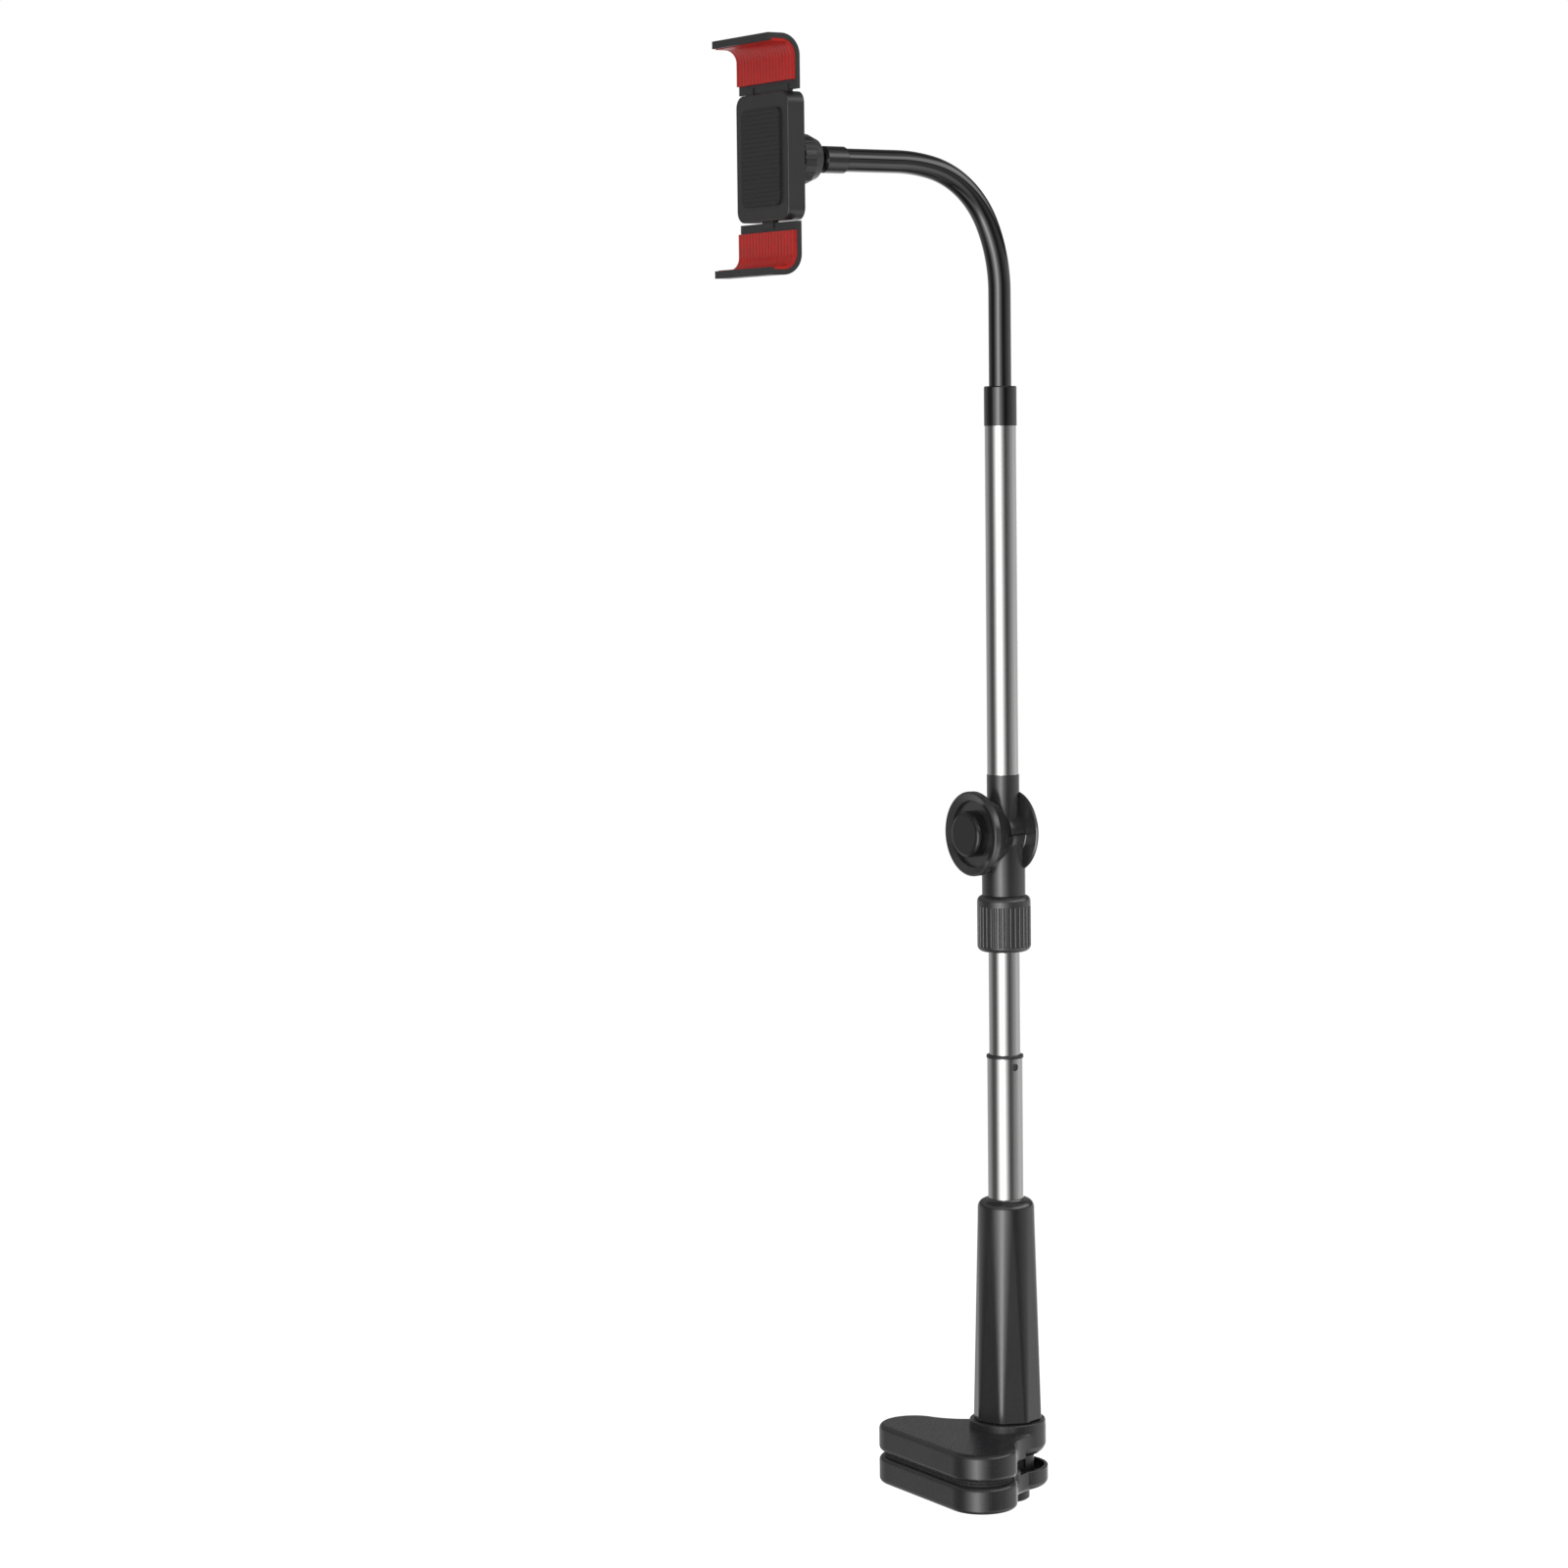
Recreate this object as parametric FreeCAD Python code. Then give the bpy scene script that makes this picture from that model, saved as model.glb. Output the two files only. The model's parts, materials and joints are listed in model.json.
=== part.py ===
import FreeCAD, Part
import math
import os

V = FreeCAD.Vector

# The pole stands on X = 0, Y = 0 with +Z up, and the cradle faces -Y.
# Z = 0 is the grip face under the upper jaw's pad. All sizes are in millimetres.

# Clearances
RUN = 0.05            # turning or sliding fit, per side
SEAT = 0.05           # pieces that are pushed together and stay, per side
FREE = 0.2            # pieces that only pass each other

# Clamp jaws, seen from above a broad T with round lobes
LOBE_X = 42.6         # lobe centre to the side
LOBE_Y = 51.1         # lobe centre forward of the pole
LOBE_R = 24.6
FLANK_R = 45.0        # hollow flank between lobe and socket
SOCKET_R = 27.0
JAW_THICK = 19.0
JAW_WALL = 4.0
JAW_EDGE = 3.5        # rounding of the outer edges
JAW_LIP = 3.4         # rounding of the edges next to the pads
PLATE_THICK = 3.9
PAD_THICK = 1.6
PAD_INSET = 3.7
PAD_GAP = 0.5         # between the closed pads
PAD_REAR = 14.0       # pads and lower plate start this far forward of the pole
SOCKET_RISE = 5.5     # socket's top above the jaw's
SOCKET_WALL = 3.0
SOCKET_LIP = 0.3      # taper of the socket above the jaw
SCREW_R = 1.45
SCREW_HEAD_R = 3.2
SCREW_HEAD = 2.0
SCREW_LENGTH = 12.0
POST_R = 4.5
OUTER_SCREW = (2.0, 0.5)      # inward and forward of the lobe's centre
INNER_SCREW = (29.0, 4.5)

JAW_TOP = PAD_THICK + JAW_THICK
SOCKET_TOP = JAW_TOP + SOCKET_RISE
LOWER_JAW_TOP = -PAD_GAP - PAD_THICK

# Ear of the lower jaw and the column that stands in it
COLUMN_R = 18.4
COLUMN_BORE = 14.0
COLUMN_FLOOR = 3.5
EAR_R = 28.3
EAR_DROP = 5.0        # ear's rim below the lower jaw's top
EAR_DEPTH = 7.0
EAR_WALL = 2.5
SPIGOT_R = 13.0
SPIGOT_LENGTH = 6.0   # below the ear
CAP_R = 15.3
CAP_HEIGHT = 10.4
KEY_WIDTH = 5.0
KEY_DEPTH = 1.6
PAD_CUT = 1.7         # pads stop this far from the ear

EAR_TOP = LOWER_JAW_TOP - EAR_DROP
EAR_LOW = LOWER_JAW_TOP - JAW_THICK
EAR_FLOOR = EAR_TOP - EAR_DEPTH
SPIGOT_LOW = EAR_LOW - SPIGOT_LENGTH
CAP_LOW = EAR_LOW - CAP_HEIGHT

# Handle and lead screw
COLUMN_HEIGHT = 93.0
NUT_HEIGHT = 18.0
NUT_FLANGE = 3.0
NUT_RIM = 3.0
NUT_ROOM = 5.0        # between the nut and the handle's partition
PARTITION = 12.0
NECK_WALL = 3.1
NECK_GAP = 0.5        # under the handle's neck
RING_RISE = 2.0
RING_THICK = 1.7
RING_BITE = 1.25
HANDLE_LOW_R = 22.6   # to the middle of the flats at the foot
HANDLE_CORNER = 5.0   # rounding between the flats at the foot
HANDLE_TOP_R = 20.1
HANDLE_TOP_CORNER = 19.5
HANDLE_LENGTH = 142.2
HANDLE_CAP = 14.6
HANDLE_WALL = 2.6
SCREW_HEX_R = 10.0
LEAD_R = 7.0
LEAD_POINT = 2.0
SLEEVE_WALL = 2.6
PIN_R = 2.0
PIN_RISE = 14.0

COLUMN_TOP = EAR_FLOOR + COLUMN_HEIGHT
NECK_R = COLUMN_R + NECK_WALL
NECK_LOW = PAD_THICK + PLATE_THICK + NECK_GAP
RING_LOW = NECK_LOW + RING_RISE
SOCKET_STEP = RING_LOW + RING_THICK + 2 * FREE
PARTITION_LOW = COLUMN_TOP + NUT_FLANGE + NUT_ROOM
PARTITION_TOP = PARTITION_LOW + PARTITION
PIN_Z = PARTITION_TOP + PIN_RISE
LEAD_LOW = EAR_FLOOR + COLUMN_FLOOR + LEAD_POINT + 0.5
HANDLE_SEAM = SOCKET_TOP + HANDLE_LENGTH
HANDLE_TOP = HANDLE_SEAM + HANDLE_CAP

# Pole tubes
TUBE_R = 11.0
TUBE_WALL = 1.0
BUSH_WALL = 0.4
BUSH_RIM = 2.2
BUSH_PROUD = 0.5
BUSH_LENGTH = 25.4
LOWER_TUBE_SHOWN = 99.6
MID_TUBE_SHOWN = 72.8
TUBE_OVERLAP = 55.4
BUTTON_DROP = 5.8     # snap button below the lower tube's top
BUTTON_R = 2.3
STRIP_THICK = 0.5
STRIP_WIDTH = 5.0

LOWER_TUBE_R = TUBE_R + BUSH_WALL + TUBE_WALL + RUN + SEAT
BUSH_R = LOWER_TUBE_R + BUSH_PROUD
LOWER_TUBE_TOP = HANDLE_TOP + LOWER_TUBE_SHOWN
BUSH_TOP = LOWER_TUBE_TOP + BUSH_RIM
BUSH_LOW = LOWER_TUBE_TOP - BUSH_LENGTH
BUTTON_Z = LOWER_TUBE_TOP - BUTTON_DROP
MID_TUBE_LOW = LOWER_TUBE_TOP - TUBE_OVERLAP

# Lock collar and elbow
COLLAR_HEIGHT = 39.3
COLLAR_R = 18.7
COLLAR_RIBS = 34
COLLAR_FLOOR = 3.8
COLLET_WALL = 3.0
FORK_NECK_R = 15.2
HINGE_RISE = 44.4     # hinge axis above the collar
TUBE_DEPTH = 22.1     # middle tube's top below the hinge axis
ELBOW_TURN = 2.7      # degrees that the elbow stands turned from the clamp
DISC_R = 29.5
DISC_RIM = 4.5        # thickness of the front disc's rim
BACK_DISC_R = 28.6
DISC_FRONT = -29.0
BACK_FLAT_R = 19.0    # flat middle of the sloping back
WAIST_R = 17.3
WAIST_FRONT = -4.0    # the front disc's flare meets the waist
SLOT_FRONT = -12.0
SLOT_BACK = 6.6
SLOT_FLOOR = 1.6      # below the hinge axis on the +X side
SLOT_DEEP = 13.2      # below the hinge axis on the -X side
BACK_THICK = 5.8
EYE_R = 14.7
HINGE_PIN_R = 4.0
PUSH_R = 16.0
PUSH_EDGE = 3.0       # rounding of the button's face
PUSH_PROUD = 5.2
PUSH_FACE = 3.2
PUSH_WALL = 3.5
RECESS_EDGE = 7.4
RECESS_DEPTH = 4.2
GUIDE_THICK = 3.0
CHAMBER_EDGE = 2.2    # chamber wider than the button
CHAMBER_WALL = 2.5
PIN_HEAD_R = 8.0
BACK_CAP_R = 14.0
SLEEVE_PROUD = 0.35
SLEEVE_RISE = 40.0
PLUG_LENGTH = 32.0
ELBOW_PIECES = ["elbow_fork", "elbow_button", "button_ring", "button_spring", "hinge_pin"]
ELBOW_PIECES += ["back_cap", "elbow_head"]

COLLAR_LOW = BUSH_TOP + MID_TUBE_SHOWN
COLLAR_TOP = COLLAR_LOW + COLLAR_HEIGHT
COLLET_R = TUBE_R + COLLET_WALL
HINGE_Z = COLLAR_TOP + HINGE_RISE
MID_TUBE_TOP = HINGE_Z - TUBE_DEPTH
FLARE_SLOPE = (DISC_R - WAIST_R) / (WAIST_FRONT - DISC_FRONT - DISC_RIM)
DISC_BACK = SLOT_BACK + BACK_THICK
CHAMBER_BACK = SLOT_FRONT - CHAMBER_WALL
PUSH_FRONT = DISC_FRONT - PUSH_PROUD
RECESS_R = PUSH_R + RECESS_EDGE
CHAMBER_R = PUSH_R + CHAMBER_EDGE
SLEEVE_R = TUBE_R + SLEEVE_PROUD
SLEEVE_TOP = HINGE_Z + SLEEVE_RISE

# Upper tube, ferrule and gooseneck
UPPER_TUBE_LENGTH = 241.5
FERRULE_LENGTH = 27.2
FERRULE_PROUD = 0.4
CORE_R = 7.8
NECK_IN = 40.0        # first link's length inside the ferrule
NECK_STRAIGHT = 64.7
BENDS = [(110.0, 25.0), (67.0, 52.0), (125.0, 13.0)]
JOINT_FIRST = 28.0    # along the gooseneck from the ferrule's top
JOINT_PITCH = 44.0
JOINT_COUNT = 5
JOINT_GAP = 3.2
KNUCKLE_SET_IN = 0.2
KNUCKLE_FIT = 0.08

UPPER_TUBE_TOP = SLEEVE_TOP + UPPER_TUBE_LENGTH
FERRULE_TOP = UPPER_TUBE_TOP + FERRULE_LENGTH
FERRULE_R = TUBE_R + FERRULE_PROUD
BEND_START = FERRULE_TOP + NECK_STRAIGHT
KNUCKLE_R = CORE_R - KNUCKLE_SET_IN

# Ball joint behind the cradle
BALL_Y = -158.0
BALL_R = 8.0
LINER_THICK = 1.45
STUD_R = 4.0
TIP_R = 9.0
TIP_GAP = 14.0        # between the ball's centre and the end fitting
TIP_LENGTH = 18.0
TIP_FLOOR = 6.0
BOSS_R = 13.0
NUT_R = 16.5
NUT_HALF = 8.0
HOLD = 5.5            # the nut grips the ball this far behind its centre

TIP_FRONT = BALL_Y + TIP_GAP
TIP_BACK = TIP_FRONT + TIP_LENGTH
NUT_BACK = BALL_Y + NUT_HALF
NUT_FRONT = BALL_Y - NUT_HALF

# Cradle
HALF_WIDTH = 33.0
HALF_HEIGHT = 42.0
CRADLE_CORNER = 8.0
BOSS_LENGTH = 19.0    # ball's centre to the housing's back
BACK_WALL = 4.9
RAIL_THICK = 4.2
COVER_THICK = 3.9
COVER_PAD = 1.5
COVER_PAD_INSET = 10.0
COVER_PAD_CORNER = 5.0
SIDE_RAIL_IN = 17.0
SIDE_RAIL_OUT = 27.0
MID_RAIL = 7.0
RAIL_GAP = 0.1
END_WALL = 4.0
COVER_SCREW_IN = 14.0
COVER_SCREW_R = 2.3    # head
ARM_GAP = 1.0
ARM_ROOT = 4.0
TAIL_DEPTH = 64.0
TAIL_THICK = 4.0
HOOK_HALF = 36.0
HOOK_SPAN = 157.0     # outer height over both hooks
HOOK_THICK = 3.5
HOOK_BEND_R = 14.0
HOOK_REACH = 16.0
LIP_THICK = 2.5
LIP_HEIGHT = 5.0
GRIP_THICK = 2.0
GRIP_ROOT = 6.0
SPRING_X = 12.0
SPRING_R = 2.6
SPRING_WIRE = 0.8
SPRING_TURNS = 15
SPRING_DEPTH = 1.4    # spring's centre behind the rails' middle
SPRING_ROOM = 3.6     # half width of the spring's trench
TRENCH_DEPTH = 2.8

BODY_BACK = BALL_Y - BOSS_LENGTH
RAIL_BACK = BODY_BACK - BACK_WALL
RAIL_FRONT = RAIL_BACK - RAIL_THICK
COVER_FRONT = RAIL_FRONT - COVER_THICK
HOOK_FRONT = COVER_FRONT - HOOK_REACH


# Basic shapes

def rod(radius, low, high, x=0.0, y=0.0):
    return Part.makeCylinder(radius, high - low, V(x, y, low))


def cross_rod(radius, y_low, y_high, x=0.0, z=0.0):
    return Part.makeCylinder(radius, y_high - y_low, V(x, y_low, z), V(0, 1, 0))


def side_rod(radius, x_low, x_high, y=0.0, z=0.0):
    return Part.makeCylinder(radius, x_high - x_low, V(x_low, y, z), V(1, 0, 0))


def block(x_low, x_high, y_low, y_high, z_low, z_high):
    corner = V(x_low, y_low, z_low)
    return Part.makeBox(x_high - x_low, y_high - y_low, z_high - z_low, corner)


def face_of(steps, place):
    """Flat face from (a, b) points; a pair of points is an arc through the first."""
    edges = []
    first = place(*steps[0])
    here = first
    for step in steps[1:]:
        if isinstance(step[0], tuple):
            there = place(*step[1])
            edges.append(Part.Arc(here, place(*step[0]), there).toShape())
        else:
            there = place(*step)
            edges.append(Part.makeLine(here, there))
        here = there
    if (here - first).Length > 1e-6:
        edges.append(Part.makeLine(here, first))
    return Part.Face(Part.Wire(edges))


def turned(steps):
    """Solid of revolution about the pole from (radius, z) steps."""
    face = face_of(steps, lambda r, z: V(r, 0, z))
    return face.revolve(V(0, 0, 0), V(0, 0, 1), 360)


def turned_y(steps, z):
    """Solid of revolution about a line along Y from (radius, y) steps."""
    face = face_of(steps, lambda r, y: V(r, y, z))
    return face.revolve(V(0, 0, z), V(0, 1, 0), 360)


def on_arc(x, y, radius, angle):
    return (x + radius * math.cos(angle), y + radius * math.sin(angle))


def fused(shapes):
    whole = shapes[0]
    for shape in shapes[1:]:
        whole = whole.fuse(shape)
    return whole.removeSplitter()


def cut_all(solid, tools):
    for tool in tools:
        solid = solid.cut(tool)
    return solid


def edges_at(solid, z):
    found = []
    for edge in solid.Edges:
        box = edge.BoundBox
        if abs(box.ZMin - z) < 1e-4 and abs(box.ZMax - z) < 1e-4:
            found.append(edge)
    return found


def coil(radius, wire, turns, length):
    """Helical spring standing on Z = 0, its wire drawn through short straight stretches."""
    stretches = 16
    sides = 8
    rise = (length - wire) / turns
    sections = []
    for step in range(turns * stretches + 1):
        angle = 2 * math.pi * step / stretches
        height = wire / 2 + rise * step / stretches
        corners = []
        for side in range(sides + 1):
            around = 2 * math.pi * side / sides
            out = radius + wire / 2 * math.cos(around)
            up = height + wire / 2 * math.sin(around)
            corners.append(V(out * math.cos(angle), out * math.sin(angle), up))
        sections.append(Part.makePolygon(corners))
    return Part.makeLoft(sections, True, True)


# Clamp

def flank_centre():
    reach = math.hypot(LOBE_X, LOBE_Y)
    near = SOCKET_R + FLANK_R
    far = LOBE_R + FLANK_R
    turn = math.acos((near ** 2 + reach ** 2 - far ** 2) / (2 * near * reach))
    angle = math.atan2(-LOBE_Y, LOBE_X) + turn
    return near * math.cos(angle), near * math.sin(angle)


def jaw_plan(inset, low, high):
    """The jaw's outline set in by the given amount, as an upright prism."""
    cx, cy = flank_centre()
    lobe = LOBE_R - inset
    flank = FLANK_R + inset
    ring = SOCKET_R - inset
    to_flank = math.atan2(cy + LOBE_Y, cx - LOBE_X)
    to_ring = math.atan2(cy, cx)
    front = (LOBE_X, -LOBE_Y - lobe)
    lobe_mid = on_arc(LOBE_X, -LOBE_Y, lobe, (to_flank - math.pi / 2) / 2)
    lobe_end = on_arc(LOBE_X, -LOBE_Y, lobe, to_flank)
    flank_mid = on_arc(cx, cy, flank, math.pi + (to_flank + to_ring) / 2)
    ring_start = on_arc(0, 0, ring, to_ring)
    steps = [front, (lobe_mid, lobe_end), (flank_mid, ring_start)]
    steps.append(((0, ring), (-ring_start[0], ring_start[1])))
    steps.append(((-flank_mid[0], flank_mid[1]), (-lobe_end[0], lobe_end[1])))
    steps.append(((-lobe_mid[0], lobe_mid[1]), (-front[0], front[1])))
    face = face_of(steps, lambda x, y: V(x, y, low))
    return face.extrude(V(0, 0, high - low))


def socket_rounding():
    """Waste round the rear of the socket's underside."""
    low = PAD_THICK
    steps = [(COLUMN_R + 0.8, low - 1), (COLUMN_R + 0.8, low + 0.2)]
    steps.append(((SOCKET_R - 2.9, low + 2.2), (SOCKET_R + 0.01, low + 7.2)))
    steps.append((SOCKET_R + 6, low + 7.2))
    steps.append((SOCKET_R + 6, low - 1))
    rear = block(-SOCKET_R - 8, SOCKET_R + 8, -5.0, SOCKET_R + 8, low - 2, low + 9)
    return turned(steps).common(rear)


def jaw_screw_places():
    places = []
    for inward, forward in (OUTER_SCREW, INNER_SCREW):
        for side in (1, -1):
            places.append((side * (LOBE_X - inward), -LOBE_Y - forward))
    return places


def screw_posts(low, high):
    posts = []
    for x, y in jaw_screw_places():
        posts.append(rod(POST_R, low, high, x, y))
    return posts


def jaw_screws(seat, upward):
    """Four screws whose heads lie in the plate at the seat level."""
    screws = []
    head = SCREW_HEAD
    for x, y in jaw_screw_places():
        if upward:
            top = rod(SCREW_HEAD_R, seat + 0.1, seat + 0.1 + head, x, y)
            shank = rod(SCREW_R, seat + head, seat + SCREW_LENGTH, x, y)
        else:
            top = rod(SCREW_HEAD_R, seat - 0.1 - head, seat - 0.1, x, y)
            shank = rod(SCREW_R, seat - SCREW_LENGTH, seat - head, x, y)
        screws.append(top.fuse(shank))
    return Part.makeCompound(screws)


def upper_jaw_shell():
    low = PAD_THICK
    top = JAW_TOP
    seat = low + PLATE_THICK + SEAT
    jaw = jaw_plan(0, low, top)
    jaw = jaw.makeFillet(JAW_EDGE, edges_at(jaw, top))
    jaw = jaw.makeFillet(JAW_LIP, edges_at(jaw, low))
    lip = SOCKET_R - SOCKET_LIP
    under = top - JAW_EDGE - 1
    steps = [(0, under), (SOCKET_R, under), (SOCKET_R, top), (lip, SOCKET_TOP - 1.0)]
    steps.append(((lip - 0.3, SOCKET_TOP - 0.4), (lip - 1.0, SOCKET_TOP - 0.1)))
    steps.append((0, SOCKET_TOP - 0.1))
    shell = fused([jaw, turned(steps)])
    hollow = jaw_plan(JAW_WALL, seat, top - JAW_WALL).cut(rod(SOCKET_R, seat, top))
    shell = shell.cut(jaw_plan(JAW_WALL, low - 1, seat))
    shell = shell.cut(hollow)
    shell = fused([shell] + screw_posts(seat, top - JAW_WALL + 0.5))
    shell = shell.cut(rod(SOCKET_R - SOCKET_WALL, seat - 0.5, SOCKET_STEP))
    shell = shell.cut(rod(NECK_R + RUN, SOCKET_STEP - 1, SOCKET_TOP + 1))
    pilots = []
    for x, y in jaw_screw_places():
        pilots.append(rod(SCREW_R + SEAT, seat - 1, low + SCREW_LENGTH + 0.5, x, y))
    return cut_all(shell, pilots).cut(socket_rounding())


def upper_jaw_plate():
    low = PAD_THICK
    top = low + PLATE_THICK
    plate = jaw_plan(JAW_WALL + SEAT, low, top)
    plate = plate.cut(rod(COLUMN_R + RUN, low - 1, top + 1))
    tooth_in = COLUMN_R - KEY_DEPTH + 0.1
    half = KEY_WIDTH / 2
    teeth = [block(tooth_in, COLUMN_R + 1, -half, half, low + 1.5, top)]
    teeth.append(block(-COLUMN_R - 1, -tooth_in, -half, half, low + 1.5, top))
    plate = fused([plate] + teeth)
    holes = []
    for x, y in jaw_screw_places():
        holes.append(rod(SCREW_R + FREE, low - 1, top + 1, x, y))
        holes.append(rod(SCREW_HEAD_R + FREE, low - 1, low + SCREW_HEAD + 0.1, x, y))
    return cut_all(plate, holes).cut(socket_rounding())


def forward_of(distance, low, high):
    """Space in front of a line across the jaws."""
    reach = 2 * (LOBE_X + LOBE_Y)
    return block(-reach, reach, -reach, -distance, low, high)


def grip_pad(low):
    pad = jaw_plan(PAD_INSET, low, low + PAD_THICK - 0.05)
    pad = pad.cut(rod(EAR_R + PAD_CUT, low - 1, low + PAD_THICK + 1))
    return pad.common(forward_of(PAD_REAR, low - 1, low + PAD_THICK + 1))


def lower_jaw_shell():
    top = LOWER_JAW_TOP
    low = EAR_LOW
    seat = top - PLATE_THICK - SEAT
    reach = EAR_R + JAW_WALL
    jaw = jaw_plan(0, low, top)
    jaw = jaw.makeFillet(JAW_EDGE, edges_at(jaw, low))
    jaw = jaw.makeFillet(JAW_LIP, edges_at(jaw, top))
    jaw = jaw.cut(block(-2 * reach, 2 * reach, 2 - PAD_REAR, reach, EAR_TOP, top + 1))
    steps = [(0, EAR_LOW), (EAR_R - 4.5, EAR_LOW)]
    steps.append(((EAR_R - 1.4, EAR_LOW + 1.4), (EAR_R, EAR_LOW + 4.5)))
    steps.append((EAR_R, EAR_TOP - 0.7))
    steps.append(((EAR_R - 0.2, EAR_TOP - 0.2), (EAR_R - 0.7, EAR_TOP)))
    steps.append((0, EAR_TOP))
    shell = fused([jaw, turned(steps)])
    hollow = jaw_plan(JAW_WALL, low + JAW_WALL, seat + 0.01).cut(rod(EAR_R, low, top + 1))
    hollow = hollow.common(forward_of(PAD_REAR, low, top))
    recess = jaw_plan(JAW_WALL, seat, top + 1).cut(rod(EAR_R, low, top + 2))
    shell = cut_all(shell, [hollow, recess])
    shell = fused([shell] + screw_posts(low + JAW_WALL - 0.5, seat))
    pilots = []
    for x, y in jaw_screw_places():
        pilots.append(rod(SCREW_R + SEAT, top - SCREW_LENGTH - 0.5, top, x, y))
    shell = cut_all(shell, pilots)
    shell = shell.cut(rod(EAR_R - EAR_WALL, EAR_FLOOR, top + 1))
    return shell.cut(rod(SPIGOT_R + SEAT, EAR_LOW - 1, EAR_FLOOR + 1))


def lower_jaw_plate():
    top = LOWER_JAW_TOP
    low = top - PLATE_THICK
    plate = jaw_plan(JAW_WALL + SEAT, low, top).cut(rod(EAR_R + SEAT, low - 1, top + 1))
    plate = plate.common(forward_of(PAD_REAR - 2, low - 1, top + 1))
    holes = []
    for x, y in jaw_screw_places():
        holes.append(rod(SCREW_R + FREE, low - 1, top + 1, x, y))
        holes.append(rod(SCREW_HEAD_R + FREE, top - SCREW_HEAD - 0.1, top + 1, x, y))
    return cut_all(plate, holes)


def guide_column():
    steps = [(0, SPIGOT_LOW), (SPIGOT_R, SPIGOT_LOW), (SPIGOT_R, EAR_FLOOR)]
    steps += [(COLUMN_R, EAR_FLOOR), (COLUMN_R, COLUMN_TOP - 1), (COLUMN_R - 1, COLUMN_TOP)]
    steps += [(COLUMN_BORE, COLUMN_TOP), (COLUMN_BORE, EAR_FLOOR + COLUMN_FLOOR)]
    steps += [(0, EAR_FLOOR + COLUMN_FLOOR)]
    column = turned(steps)
    half = KEY_WIDTH / 2 + RUN
    inner = COLUMN_R - KEY_DEPTH
    right = block(inner, COLUMN_R + 1, -half, half, EAR_TOP, COLUMN_TOP + 1)
    left = block(-COLUMN_R - 1, -inner, -half, half, EAR_TOP, COLUMN_TOP + 1)
    return cut_all(column, [right, left])


def column_nut():
    body = rod(COLUMN_BORE - SEAT, COLUMN_TOP - NUT_HEIGHT, COLUMN_TOP + 0.5)
    flange = rod(COLUMN_BORE + NUT_RIM, COLUMN_TOP, COLUMN_TOP + NUT_FLANGE)
    nut = fused([body, flange])
    nut = nut.cut(rod(LEAD_R + RUN, COLUMN_TOP - NUT_HEIGHT - 1, COLUMN_TOP + NUT_FLANGE + 1))
    return nut


def column_cap():
    steps = [(0, CAP_LOW), (CAP_R - 1.2, CAP_LOW), (CAP_R, CAP_LOW + 1.2)]
    steps += [(CAP_R, EAR_LOW), (SPIGOT_R + SEAT, EAR_LOW)]
    steps += [(SPIGOT_R + SEAT, SPIGOT_LOW), (0, SPIGOT_LOW)]
    return turned(steps)


# Handle

def handle_radius(z):
    share = (z - SOCKET_TOP) / (HANDLE_SEAM - SOCKET_TOP)
    return HANDLE_LOW_R + (HANDLE_TOP_R - HANDLE_LOW_R) * share


def hex_prism(radius, low, high):
    points = []
    for side in range(7):
        angle = math.radians(60 * side)
        points.append(V(radius * math.cos(angle), radius * math.sin(angle), low))
    return Part.Face(Part.makePolygon(points)).extrude(V(0, 0, high - low))


def rounded_octagon(flat, corner, z):
    """Outline with eight flats at the given distance and rounded corners between them."""
    half = math.pi / 8
    middle = (flat - corner) / math.cos(half)
    edges = []
    ends = []
    for number in range(8):
        angle = 2 * half * number
        x, y = on_arc(0, 0, middle, angle)
        points = []
        for turn in (-half, 0, half):
            points.append(V(*on_arc(x, y, corner, angle + turn), z))
        edges.append(Part.Arc(*points).toShape())
        ends.append((points[0], points[2]))
    outline = []
    for number in range(8):
        outline.append(edges[number])
        outline.append(Part.makeLine(ends[number][1], ends[(number + 1) % 8][0]))
    return Part.Wire(outline)


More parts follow.
